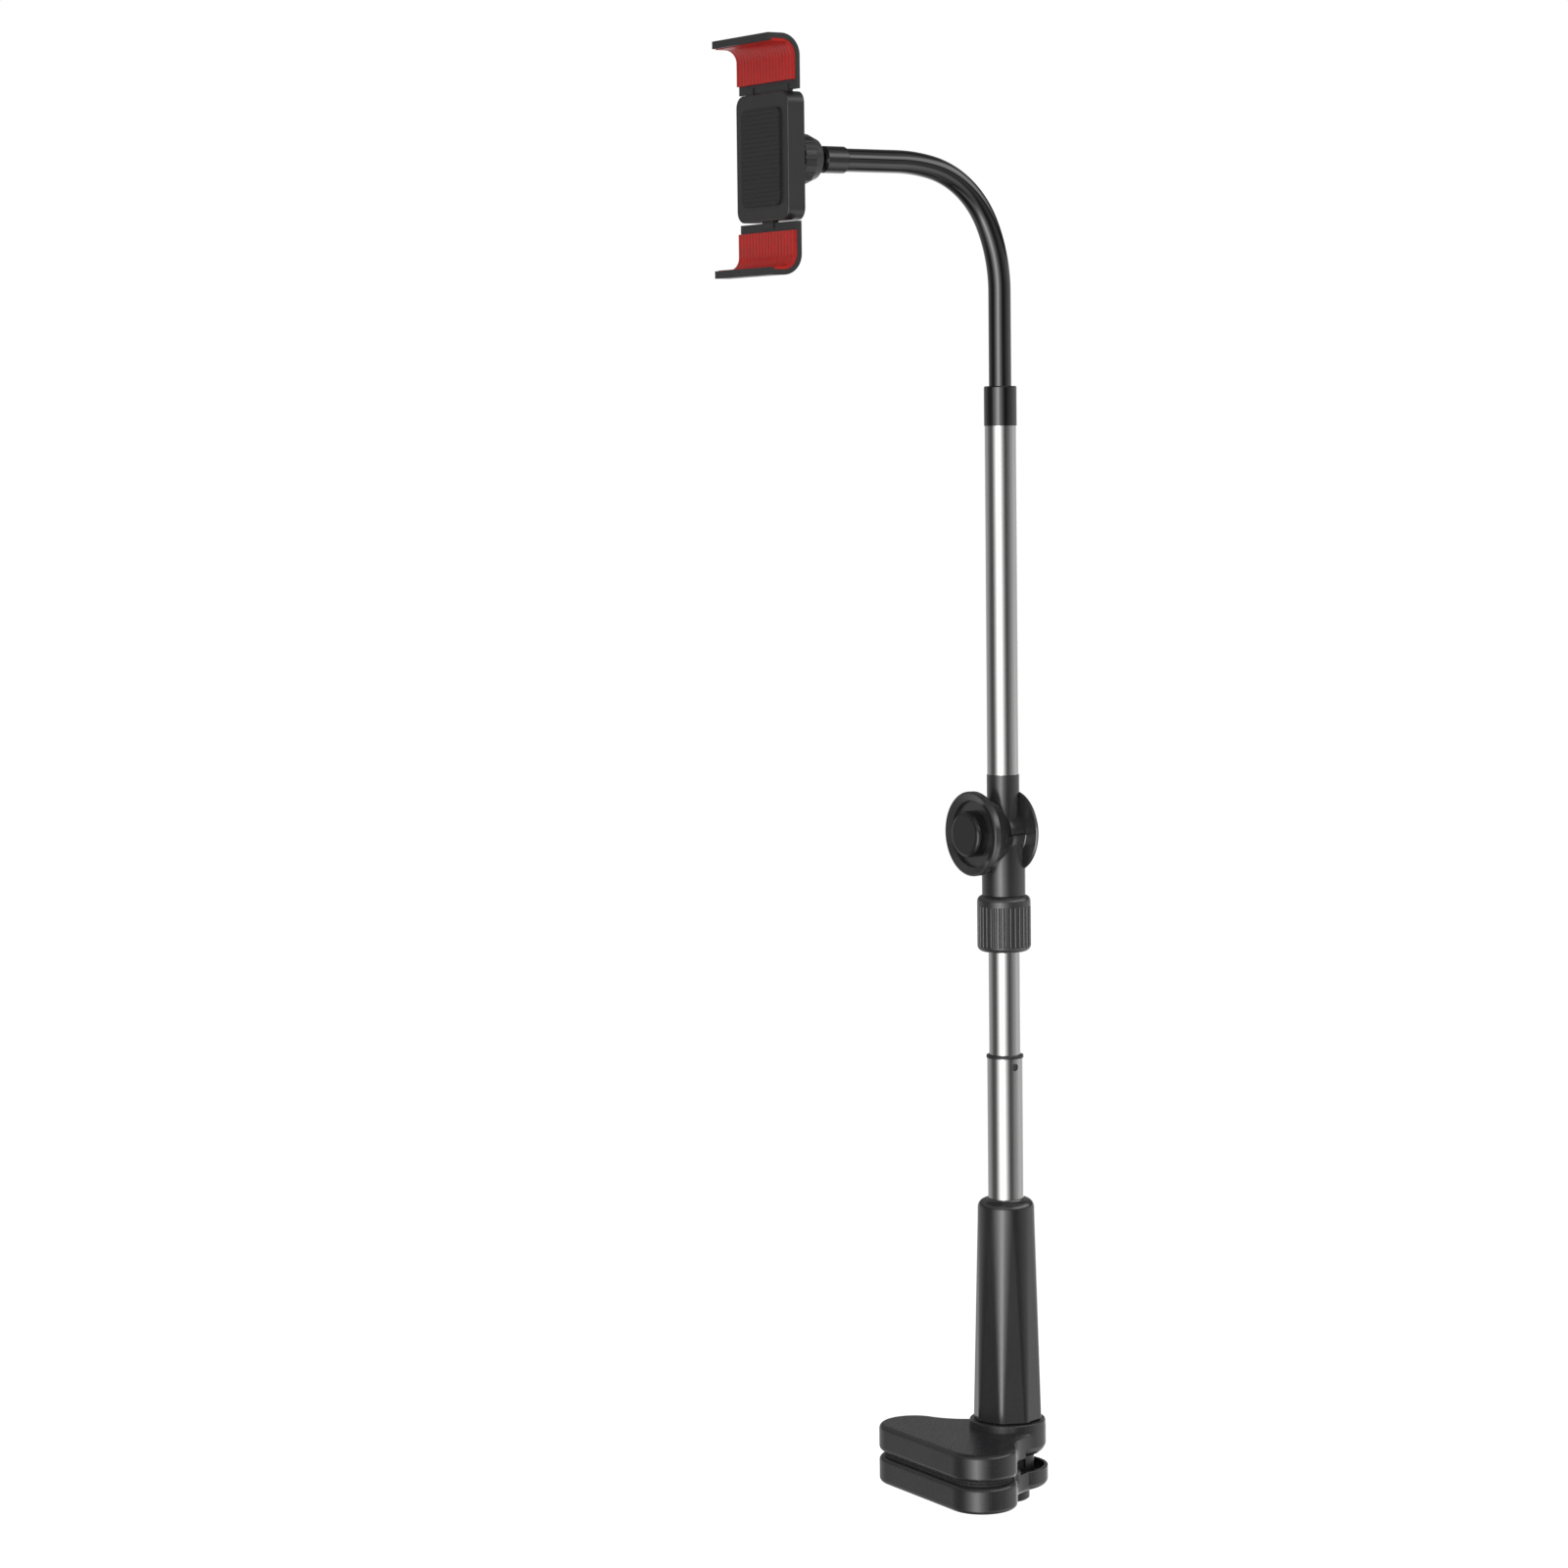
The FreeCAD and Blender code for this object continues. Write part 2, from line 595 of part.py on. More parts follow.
def handle_shell():
    foot = rounded_octagon(HANDLE_LOW_R - 0.7, HANDLE_CORNER, SOCKET_TOP)
    wide = rounded_octagon(HANDLE_LOW_R, HANDLE_CORNER, SOCKET_TOP + 0.7)
    round_end = rounded_octagon(HANDLE_TOP_R - 0.05, HANDLE_TOP_CORNER, HANDLE_SEAM)
    grip = Part.makeLoft([foot, wide, round_end], True, True)
    body = fused([grip, rod(NECK_R, NECK_LOW, SOCKET_TOP + 1)])
    bore = COLUMN_R + 2 * RUN
    hollow_top = handle_radius(PARTITION_LOW) - HANDLE_WALL
    hollow_low = handle_radius(SOCKET_TOP + 6) - HANDLE_WALL
    lower = [(0, NECK_LOW - 1), (bore, NECK_LOW - 1), (bore, SOCKET_TOP + 3)]
    lower += [(hollow_low, SOCKET_TOP + 6), (hollow_top, PARTITION_LOW), (0, PARTITION_LOW)]
    body = body.cut(turned(lower))
    sleeve = LOWER_TUBE_R + SEAT + SLEEVE_WALL
    ring_low = PARTITION_TOP + 4
    outer_low = handle_radius(ring_low) - HANDLE_WALL
    outer_top = handle_radius(HANDLE_SEAM) - HANDLE_WALL
    upper = [(sleeve, ring_low), (outer_low, ring_low), (outer_top, HANDLE_SEAM + 1)]
    upper += [(sleeve, HANDLE_SEAM + 1)]
    pocket = turned(upper)
    for turn in (45, 135):
        rib = block(-30, 30, -1.0, 1.0, PARTITION_TOP, HANDLE_SEAM - 6)
        rib.rotate(V(0, 0, 0), V(0, 0, 1), turn)
        pocket = pocket.cut(rib)
    body = body.cut(pocket)
    body = body.cut(rod(LOWER_TUBE_R + SEAT, PARTITION_TOP, HANDLE_SEAM + 1))
    body = body.cut(rod(LEAD_R + SEAT, PARTITION_LOW - 1, PARTITION_TOP))
    body = body.cut(hex_prism(SCREW_HEX_R + SEAT, PARTITION_LOW + 2, PARTITION_TOP + 0.1))
    groove = rod(NECK_R + 1, RING_LOW - 0.1, RING_LOW + RING_THICK + 0.1)
    groove = groove.cut(rod(NECK_R - RING_BITE, RING_LOW - 1, RING_LOW + RING_THICK + 1))
    body = body.cut(groove)
    return body.cut(side_rod(PIN_R + SEAT, -sleeve - 0.5, sleeve + 0.5, 0, PIN_Z))


def handle_retainer():
    ring = rod(SOCKET_R - SOCKET_WALL - 0.4, RING_LOW, RING_LOW + RING_THICK)
    ring = ring.cut(rod(NECK_R - RING_BITE + SEAT, RING_LOW - 1, RING_LOW + RING_THICK + 1))
    gap = block(-3, 3, -SOCKET_R, 0, RING_LOW - 1, RING_LOW + RING_THICK + 1)
    return ring.cut(gap)


def handle_cap():
    bore = LOWER_TUBE_R + SEAT
    round_r = 6.3
    side = HANDLE_TOP_R - 0.15
    shoulder = HANDLE_TOP - round_r
    mid = on_arc(side - round_r, shoulder, round_r, math.pi / 4)
    steps = [(bore, HANDLE_SEAM), (HANDLE_TOP_R, HANDLE_SEAM), (side, shoulder)]
    steps += [(mid, (side - round_r, HANDLE_TOP)), (bore, HANDLE_TOP)]
    skirt_out = HANDLE_TOP_R - HANDLE_WALL - SEAT
    skirt = rod(skirt_out, HANDLE_SEAM - 5, HANDLE_SEAM + 0.5)
    skirt = skirt.cut(rod(skirt_out - 1.4, HANDLE_SEAM - 6, HANDLE_SEAM + 1))
    return fused([turned(steps), skirt])


def lead_screw():
    shank = rod(LEAD_R, LEAD_LOW, PARTITION_TOP - 2)
    head = hex_prism(SCREW_HEX_R, PARTITION_LOW + 2, PARTITION_TOP - 0.1)
    end = LEAD_LOW - LEAD_POINT
    point = turned([(0, end), (LEAD_R - LEAD_POINT, end), (LEAD_R, LEAD_LOW), (0, LEAD_LOW)])
    return fused([shank, head, point])


def tube_pin():
    half = LOWER_TUBE_R + SLEEVE_WALL
    return side_rod(PIN_R, -half, half, 0, PIN_Z)


# Pole

def tube(radius, low, high):
    return rod(radius, low, high).cut(rod(radius - TUBE_WALL, low - 1, high + 1))


def lower_tube():
    pipe = tube(LOWER_TUBE_R, PARTITION_TOP, LOWER_TUBE_TOP)
    pipe = pipe.cut(side_rod(PIN_R + SEAT, -20, 20, 0, PIN_Z))
    return pipe.cut(side_rod(BUTTON_R + FREE, 0, 20, 0, BUTTON_Z))


def tube_bush():
    sleeve = rod(LOWER_TUBE_R - TUBE_WALL - SEAT, BUSH_LOW, LOWER_TUBE_TOP + 0.5)
    rim_steps = [(0, LOWER_TUBE_TOP), (BUSH_R, LOWER_TUBE_TOP), (BUSH_R, BUSH_TOP - 0.8)]
    rim_steps += [((BUSH_R - 0.25, BUSH_TOP - 0.25), (BUSH_R - 0.8, BUSH_TOP)), (0, BUSH_TOP)]
    bush = fused([sleeve, turned(rim_steps)])
    bush = bush.cut(rod(TUBE_R + RUN, BUSH_LOW - 1, BUSH_TOP + 1))
    return bush.cut(side_rod(BUTTON_R + FREE, 0, 20, 0, BUTTON_Z))


def mid_tube():
    pipe = tube(TUBE_R, MID_TUBE_LOW, MID_TUBE_TOP)
    return pipe.cut(side_rod(BUTTON_R + FREE, 0, 20, 0, BUTTON_Z))


def mid_tube_plug():
    guide = rod(LOWER_TUBE_R - TUBE_WALL - RUN - 0.02, MID_TUBE_LOW - 4, MID_TUBE_LOW)
    spigot = rod(TUBE_R - TUBE_WALL - SEAT, MID_TUBE_LOW - 1, MID_TUBE_LOW + 10)
    return fused([guide, spigot]).cut(rod(TUBE_R - 4, MID_TUBE_LOW - 5, MID_TUBE_LOW + 11))


def snap_spring():
    """Folded steel strip with the button formed on its longer leg."""
    reach = TUBE_R - TUBE_WALL - 0.6
    thin = STRIP_THICK
    top = BUTTON_Z + 4
    bend = BUTTON_Z - 20
    low = BUTTON_Z - 33
    points = [(reach, top), (reach, bend), (4, low), (-4, low), (-reach, bend), (-reach, top + 6)]
    points += [(-reach + thin, top + 6), (-reach + thin, bend + 0.1), (-3.7, low + thin)]
    points += [(3.7, low + thin), (reach - thin, bend + 0.1), (reach - thin, top)]
    face = face_of(points, lambda x, z: V(x, -STRIP_WIDTH / 2, z))
    strip = face.extrude(V(0, STRIP_WIDTH, 0))
    crown = LOWER_TUBE_R - 0.2
    button = side_rod(BUTTON_R, reach - thin / 2, crown, 0, BUTTON_Z)
    rim = []
    for edge in button.Edges:
        box = edge.BoundBox
        if box.XMin > crown - 0.01:
            rim.append(edge)
    button = button.makeFillet(0.9, rim)
    return fused([strip, button])


# Elbow

def lock_collar():
    low = COLLAR_LOW
    top = COLLAR_TOP
    edge = 4.2
    mid_low = on_arc(COLLAR_R - edge, low + edge, edge, -math.pi / 4)
    mid_top = on_arc(COLLAR_R - edge, top - edge, edge, math.pi / 4)
    steps = [(0, low), (COLLAR_R - edge, low), (mid_low, (COLLAR_R, low + edge))]
    steps += [(COLLAR_R, top - edge), (mid_top, (COLLAR_R - edge, top)), (0, top)]
    collar = turned(steps)
    collar = collar.cut(rod(TUBE_R + FREE, low - 1, top))
    collar = collar.cut(rod(COLLET_R + RUN, low + COLLAR_FLOOR, top + 1))
    grooves = []
    for number in range(COLLAR_RIBS):
        angle = 2 * math.pi * number / COLLAR_RIBS
        x, y = on_arc(0, 0, COLLAR_R + 0.35, angle)
        grooves.append(rod(1.15, low + 3.6, top - 7.5, x, y))
    return collar.cut(Part.makeCompound(grooves))


def spool():
    """Two discs on a waist, turned about the hinge axis."""
    edge = 1.2
    front_mid = on_arc(DISC_R - edge, DISC_FRONT + edge, edge, -math.pi / 4)
    steps = [(0, DISC_FRONT), (DISC_R - edge, DISC_FRONT), (front_mid, (DISC_R, DISC_FRONT + edge))]
    steps += [(DISC_R, DISC_FRONT + DISC_RIM), (WAIST_R, WAIST_FRONT)]
    steps += [(WAIST_R, SLOT_BACK - 0.6), (WAIST_R + 0.6, SLOT_BACK)]
    steps += [(BACK_DISC_R - 0.8, SLOT_BACK + 0.6), (BACK_DISC_R, SLOT_BACK + 1.4)]
    steps += [(BACK_DISC_R, SLOT_BACK + 2.2), (BACK_FLAT_R, DISC_BACK), (0, DISC_BACK)]
    return turned_y(steps, HINGE_Z)


def eye_shape(front, back, growth):
    """Eye that fills the slot, flared like the front disc and grown by a clearance."""
    flared = EYE_R + growth + (WAIST_FRONT - front) * FLARE_SLOPE
    steps = [(0, front), (flared, front), (EYE_R + growth, WAIST_FRONT), (EYE_R + growth, back), (0, back)]
    return turned_y(steps, HINGE_Z)


def elbow_fork():
    neck = rod(FORK_NECK_R, COLLAR_TOP + FREE, HINGE_Z)
    neck = neck.cut(block(-30, 30, DISC_BACK, 30, HINGE_Z - 21, HINGE_Z + 1))
    spigot = rod(COLLET_R, COLLAR_LOW + COLLAR_FLOOR + FREE, COLLAR_TOP + 1)
    body = fused([spool(), neck, spigot])
    slot = eye_shape(SLOT_FRONT, SLOT_BACK, FREE)
    reach = 2 * DISC_R
    above = block(-reach, reach, SLOT_FRONT, SLOT_BACK, HINGE_Z - SLOT_FLOOR, HINGE_Z + reach)
    deep = block(-reach, -4, SLOT_FRONT, SLOT_BACK, HINGE_Z - SLOT_DEEP, HINGE_Z + 1)
    body = cut_all(body, [slot, above, deep])
    body = body.cut(rod(TUBE_R + RUN, COLLAR_LOW, MID_TUBE_TOP + 0.5))
    dish = [(0, DISC_FRONT - 1), (DISC_R - 1.6, DISC_FRONT - 1), (DISC_R - 1.6, DISC_FRONT)]
    dish += [(RECESS_R, DISC_FRONT + 1.8), (0, DISC_FRONT + 1.8)]
    body = body.cut(turned_y(dish, HINGE_Z))
    floor = DISC_FRONT + RECESS_DEPTH + GUIDE_THICK
    body = body.cut(cross_rod(RECESS_R, DISC_FRONT - 1, floor, 0, HINGE_Z))
    body = body.cut(cross_rod(CHAMBER_R, floor - 1, CHAMBER_BACK, 0, HINGE_Z))
    body = body.cut(cross_rod(HINGE_PIN_R + SEAT, CHAMBER_BACK - 1, DISC_BACK + 1, 0, HINGE_Z))
    body = body.cut(cross_rod(PIN_HEAD_R, DISC_BACK - 3, DISC_BACK + 1, 0, HINGE_Z))
    slits = []
    for turn in (45, 135):
        slit = block(-20, 20, -0.6, 0.6, COLLAR_LOW, COLLAR_LOW + 22)
        slit.rotate(V(0, 0, 0), V(0, 0, 1), turn)
        slits.append(slit)
    return cut_all(body, slits)


def button_ring():
    front = DISC_FRONT + RECESS_DEPTH
    ring = cross_rod(RECESS_R - SEAT, front, front + GUIDE_THICK, 0, HINGE_Z)
    return ring.cut(cross_rod(PUSH_R + RUN, front - 1, front + GUIDE_THICK + 1, 0, HINGE_Z))


def elbow_button():
    flange_front = DISC_FRONT + RECESS_DEPTH + GUIDE_THICK + 0.1
    flange_back = flange_front + 2.0
    edge = PUSH_EDGE
    mid = on_arc(PUSH_R - edge, PUSH_FRONT + edge, edge, -math.pi / 4)
    steps = [(0, PUSH_FRONT), (PUSH_R - edge, PUSH_FRONT), (mid, (PUSH_R, PUSH_FRONT + edge))]
    steps += [(PUSH_R, flange_front), (CHAMBER_R - 0.4, flange_front)]
    steps += [(CHAMBER_R - 0.4, flange_back), (PUSH_R - PUSH_WALL, flange_back)]
    steps += [(PUSH_R - PUSH_WALL, PUSH_FRONT + PUSH_FACE), (0, PUSH_FRONT + PUSH_FACE)]
    return turned_y(steps, HINGE_Z)


def button_spring():
    start = PUSH_FRONT + PUSH_FACE + SEAT
    length = CHAMBER_BACK - 0.05 - start
    spring = coil(9.0, 1.0, 6, length)
    spring.rotate(V(0, 0, 0), V(1, 0, 0), -90)
    spring.translate(V(0, start, HINGE_Z))
    return spring


def hinge_pin():
    shank = cross_rod(HINGE_PIN_R, CHAMBER_BACK - 4, DISC_BACK - 1, 0, HINGE_Z)
    head = cross_rod(PIN_HEAD_R - 1, DISC_BACK - 2.9, DISC_BACK - 0.9, 0, HINGE_Z)
    nut = cross_rod(6.5, CHAMBER_BACK - 3.5, CHAMBER_BACK - 0.05, 0, HINGE_Z)
    return fused([shank, head, nut])


def back_cap():
    spigot = PIN_HEAD_R - SEAT
    rim = BACK_CAP_R
    steps = [(0, DISC_BACK - 0.8), (spigot, DISC_BACK - 0.8), (spigot, DISC_BACK)]
    steps += [(rim, DISC_BACK), (rim, DISC_BACK + 0.8), (rim - 1.2, DISC_BACK + 1.6)]
    steps.append((0, DISC_BACK + 1.6))
    return turned_y(steps, HINGE_Z)


def elbow_head():
    front = SLOT_FRONT + 0.1
    back = SLOT_BACK - 0.1
    eye = eye_shape(front, back, 0.0)
    sleeve = rod(SLEEVE_R, HINGE_Z, SLEEVE_TOP)
    sleeve = sleeve.cut(cross_rod(BACK_DISC_R + 0.5, back, BACK_DISC_R, 0, HINGE_Z))
    plug = rod(TUBE_R - TUBE_WALL - SEAT, SLEEVE_TOP - 1, SLEEVE_TOP + PLUG_LENGTH)
    head = fused([eye, sleeve, plug])
    head = head.cut(rod(TUBE_R - 5, HINGE_Z + 22, SLEEVE_TOP + PLUG_LENGTH + 1))
    return head.cut(cross_rod(HINGE_PIN_R + RUN, -20, 20, 0, HINGE_Z))


def upper_tube():
    return tube(TUBE_R, SLEEVE_TOP, UPPER_TUBE_TOP)


# Gooseneck

def neck_parts():
    """Straights and bends of the centre line: start, length, start angle, bend radius."""
    parts = [(0.0, BEND_START - FERRULE_TOP, 0.0, None)]
    angle = 0.0
    along = BEND_START - FERRULE_TOP
    for radius, degrees in BENDS:
        length = radius * math.radians(degrees)
        parts.append((along, length, angle, radius))
        angle += math.radians(degrees)
        along += length
    parts.append((along, 1000.0, angle, None))
    return parts


def neck_point(along):
    """Point and forward angle at a distance from the ferrule's top."""
    y = 0.0
    z = FERRULE_TOP
    for start, length, angle, radius in neck_parts():
        here = min(along, start + length) - start
        if start == 0.0:
            here = min(along, length)
        if radius is None:
            y -= here * math.sin(angle)
            z += here * math.cos(angle)
            turned_to = angle
        else:
            turned_to = angle + here / radius
            y -= radius * (math.cos(angle) - math.cos(turned_to))
            z += radius * (math.sin(turned_to) - math.sin(angle))
        if along <= start + length:
            return y, z, turned_to
    return y, z, turned_to


def neck_bar(low, high, radius):
    """Round bar along the centre line between two distances."""
    bars = []
    for start, length, angle, bend in neck_parts():
        first = low if start == 0.0 else max(low, start)
        last = min(high, start + length)
        if last - first < 1e-6:
            continue
        y, z, turned_to = neck_point(first)
        if bend is None:
            way = V(0, -math.sin(angle), math.cos(angle))
            bars.append(Part.makeCylinder(radius, last - first, V(0, y, z), way))
            continue
        way = V(0, -math.sin(turned_to), math.cos(turned_to))
        disc = Part.Face(Part.Wire(Part.makeCircle(radius, V(0, y, z), way)))
        centre = V(0, y - bend * math.cos(turned_to), z - bend * math.sin(turned_to))
        bars.append(disc.revolve(centre, V(1, 0, 0), math.degrees((last - first) / bend)))
    return fused(bars)


def neck_end():
    """Distance along the centre line to the back of the end fitting's bore."""
    start = neck_parts()[-1][0]
    y = neck_point(start)[0]
    return start + (y - TIP_FRONT) - TIP_FLOOR


def neck_joint(number):
    return JOINT_FIRST + JOINT_PITCH * number


def neck_link(number):
    """One link: seat at its start, round knuckle at its end."""
    if number == 0:
        low = -NECK_IN
    else:
        low = neck_joint(number - 1) + JOINT_GAP
    if number == JOINT_COUNT:
        high = neck_end()
    else:
        high = neck_joint(number)
    link = neck_bar(low, high, CORE_R)
    if number < JOINT_COUNT:
        y, z, angle = neck_point(high)
        knuckle = Part.makeSphere(KNUCKLE_R, V(0, y, z))
        link = link.fuse(knuckle)
    if number > 0:
        y, z, angle = neck_point(neck_joint(number - 1))
        link = link.cut(Part.makeSphere(KNUCKLE_R + KNUCKLE_FIT, V(0, y, z)))
    return link.removeSplitter()


def neck_ferrule():
    plug = TUBE_R - TUBE_WALL - SEAT
    steps = [(0, UPPER_TUBE_TOP - PLUG_LENGTH), (plug, UPPER_TUBE_TOP - PLUG_LENGTH)]
    steps += [(plug, UPPER_TUBE_TOP), (FERRULE_R, UPPER_TUBE_TOP)]
    steps += [(FERRULE_R, FERRULE_TOP - 0.8), (FERRULE_R - 0.8, FERRULE_TOP), (0, FERRULE_TOP)]
    body = turned(steps)
    return body.cut(rod(CORE_R + SEAT, FERRULE_TOP - NECK_IN - 0.1, FERRULE_TOP + 1))


def neck_tip():
    z = neck_point(neck_end())[1]
    bore_end = TIP_FRONT + TIP_FLOOR
    steps = [(0, TIP_FRONT), (TIP_R - 1.5, TIP_FRONT), (TIP_R, TIP_FRONT + 1.5)]
    steps += [(TIP_R, TIP_BACK - 0.8), (TIP_R - 0.8, TIP_BACK), (0, TIP_BACK)]
    body = turned_y(steps, z)
    body = body.cut(cross_rod(CORE_R + SEAT, bore_end - 0.05, TIP_BACK + 1, 0, z))
    stud = cross_rod(STUD_R, BALL_Y, TIP_FRONT + 1, 0, z)
    ball = Part.makeSphere(BALL_R, V(0, BALL_Y, z))
    return fused([body, stud, ball])


# Cradle

def cradle_z():
    return neck_point(neck_end())[1]


def ball_liner():
    z = cradle_z()
    outer = Part.makeSphere(BALL_R + RUN + LINER_THICK, V(0, BALL_Y, z))
    inner = Part.makeSphere(BALL_R + RUN, V(0, BALL_Y, z))
    zone = block(-20, 20, BALL_Y - 6.0, BALL_Y + 3.5, z - 20, z + 20)
    return outer.cut(inner).common(zone)


def socket_radius():
    return BALL_R + RUN + LINER_THICK + RUN


def ball_lock_nut():
    z = cradle_z()
    hold = BALL_Y + HOLD
    mouth = math.sqrt(socket_radius() ** 2 - HOLD ** 2)
    steps = [(0, NUT_FRONT), (NUT_R - 0.8, NUT_FRONT), (NUT_R, NUT_FRONT + 0.8)]
    steps += [(NUT_R, BALL_Y + 1), (NUT_R - 3.0, NUT_BACK), (0, NUT_BACK)]
    nut = turned_y(steps, z)
    nut = nut.cut(cross_rod(BOSS_R + RUN, NUT_FRONT - 1, BALL_Y + 0.2, 0, z))
    nut = nut.cut(Part.makeSphere(socket_radius(), V(0, BALL_Y, z)))
    flare = [(0, hold - 0.5), (mouth, hold - 0.5), (mouth, hold), (mouth + 2.8, NUT_BACK + 0.1)]
    flare += [(0, NUT_BACK + 0.1)]
    nut = nut.cut(turned_y(flare, z))
    grooves = []
    for number in range(18):
        angle = 2 * math.pi * number / 18
        x, side = on_arc(0, z, NUT_R + 0.6, angle)
        grooves.append(cross_rod(1.2, NUT_FRONT - 1, BALL_Y + 2, x, side))
    return nut.cut(Part.makeCompound(grooves))


def rounded_block(half_x, y_low, y_high, z_low, z_high, corner):
    solid = block(-half_x, half_x, y_low, y_high, z_low, z_high)
    upright = []
    for edge in solid.Edges:
        if edge.BoundBox.YLength > (y_high - y_low) * 0.9 and edge.BoundBox.ZLength < 0.1:
            if edge.BoundBox.XLength < 0.1:
                upright.append(edge)
    return solid.makeFillet(corner, upright)


def rail_ways():
    """Room in the housing for the sliding rails and the two springs."""
    mid = cradle_z()
    high = mid + HALF_HEIGHT
    low = mid - HALF_HEIGHT
    front = RAIL_FRONT - 1
    inner = SIDE_RAIL_IN - RAIL_GAP
    outer = SIDE_RAIL_OUT + RAIL_GAP
    half = MID_RAIL + RAIL_GAP
    trench = RAIL_BACK + TRENCH_DEPTH
    ways = [block(-outer, outer, front, RAIL_BACK, low + END_WALL, high - END_WALL)]
    ways.append(block(inner, outer, front, RAIL_BACK, mid, high + 1))
    ways.append(block(-outer, -inner, front, RAIL_BACK, mid, high + 1))
    ways.append(block(-half, half, front, RAIL_BACK, low - 1, mid))
    for x in (-SPRING_X, SPRING_X):
        ways.append(block(x - SPRING_ROOM, x + SPRING_ROOM, RAIL_BACK - 1, trench,
                          low + END_WALL, high - END_WALL))
    return ways


def cradle_housing():
    mid = cradle_z()
    body = rounded_block(HALF_WIDTH, RAIL_FRONT, BODY_BACK, mid - HALF_HEIGHT, mid + HALF_HEIGHT,
                         CRADLE_CORNER)
    boss = cross_rod(BOSS_R, BODY_BACK - 1, BALL_Y, 0, mid)
    ribs = []
    for turn in (45, 135, 225, 315):
        rib = block(0, BOSS_R + 11, BODY_BACK - 1, NUT_FRONT - 3.5, mid - 1.2, mid + 1.2)
        rib.rotate(V(0, 0, mid), V(0, 1, 0), turn)
        ribs.append(rib)
    body = fused([body, boss] + ribs)
    body = body.cut(Part.makeSphere(socket_radius(), V(0, BALL_Y, mid)))
    body = cut_all(body, rail_ways())
    holes = []
    for x, z in cover_screws():
        holes.append(cross_rod(SCREW_R + FREE, RAIL_FRONT - 1, BODY_BACK + 1, x, z))
        holes.append(cross_rod(COVER_SCREW_R + FREE, BODY_BACK - SCREW_HEAD, BODY_BACK + 1, x, z))
    return cut_all(body, holes)


def cover_screws():
    mid = cradle_z()
    side = (HALF_WIDTH + SIDE_RAIL_OUT) / 2
    rise = HALF_HEIGHT - COVER_SCREW_IN
    return [(side, mid + rise), (side, mid - rise), (-side, mid + rise), (-side, mid - rise)]


def cradle_screws():
    screws = []
    for x, z in cover_screws():
        head = cross_rod(COVER_SCREW_R, BODY_BACK - SCREW_HEAD + 0.1, BODY_BACK - 0.2, x, z)
        shank = cross_rod(SCREW_R, COVER_FRONT + 1.2, BODY_BACK - 1, x, z)
        screws.append(head.fuse(shank))
    return Part.makeCompound(screws)


def cradle_cover():
    mid = cradle_z()
    cover = rounded_block(HALF_WIDTH, COVER_FRONT, RAIL_FRONT, mid - HALF_HEIGHT, mid + HALF_HEIGHT,
                          CRADLE_CORNER)
    front = []
    for edge in cover.Edges:
        if abs(edge.BoundBox.YMax - COVER_FRONT) < 1e-4:
            front.append(edge)
    cover = cover.makeFillet(1.0, front)
    holes = []
    for x, z in cover_screws():
        holes.append(cross_rod(SCREW_R + SEAT, COVER_FRONT + 1.1, RAIL_FRONT + 1, x, z))
    return cut_all(cover, holes)


def cover_pad():
    mid = cradle_z()
    low = mid - HALF_HEIGHT + COVER_PAD_INSET
    high = mid + HALF_HEIGHT - COVER_PAD_INSET
    half = HALF_WIDTH - COVER_PAD_INSET + 1
    return rounded_block(half, COVER_FRONT - COVER_PAD, COVER_FRONT, low, high, COVER_PAD_CORNER)


def hook_steps(set_in, thick, low, front, lip):
    """Side view of a hook or its lining as (y, height above the cradle's middle)."""
    half = HOOK_SPAN / 2 - set_in
    back = RAIL_BACK - set_in
    bend = HOOK_BEND_R - set_in
    turn = half - bend
    start = back - bend
    root = math.sqrt(0.5)
    outer_mid = (start + bend * root, turn + bend * root)
    small = bend - thick
    inner_mid = (start + small * root, turn + small * root)
    steps = [(back, low), (back, turn), (outer_mid, (start, half)), (front, half)]
    if lip > 0:
        inside = front + LIP_THICK
        steps += [(front, half - lip), (inside, half - lip), (inside, half - thick)]
    else:
        steps += [(front, half - thick)]
    steps += [(start, half - thick), (inner_mid, (start + small, turn)), (start + small, low)]
    return steps


def upper_hook():
    low = HALF_HEIGHT + ARM_GAP
    steps = hook_steps(0, HOOK_THICK, low, HOOK_FRONT, LIP_HEIGHT)
    mid = cradle_z()
    face = face_of(steps, lambda y, h: V(-HOOK_HALF, y, mid + h))
    return face.extrude(V(2 * HOOK_HALF, 0, 0))


def grip_lining():
    low = HALF_HEIGHT + ARM_GAP + GRIP_ROOT
    set_in = HOOK_THICK
    front = HOOK_FRONT + LIP_THICK + 0.05
    steps = hook_steps(set_in, GRIP_THICK, low, front, 0)
    mid = cradle_z()
    face = face_of(steps, lambda y, h: V(-HOOK_HALF + 0.3, y, mid + h))
    return face.extrude(V(2 * HOOK_HALF - 0.6, 0, 0))


def mirrored(shape):
    mid = cradle_z()
    return shape.mirror(V(0, 0, mid), V(0, 0, 1))


def arm_tail():
    """Height of the sliding arms' inner ends, on the far side of the middle."""
    return HALF_HEIGHT + ARM_GAP - TAIL_DEPTH


def spring_seat(centre, rail, low):
    """Foot of a sliding arm: a bar from its rail to the spring and a lug in the trench."""
    half = SPRING_ROOM - 0.3
    front = RAIL_FRONT + RUN
    back = RAIL_BACK - RUN
    near = centre - half if rail > centre else rail - 1
    far = rail + 1 if rail > centre else centre + half
    bar = block(near, far, front, back, low, low + TAIL_THICK)
    deep = RAIL_BACK + TRENCH_DEPTH - FREE
    lug = block(centre - half, centre + half, back - 1, deep, low, low + TAIL_THICK)
    return bar.fuse(lug)


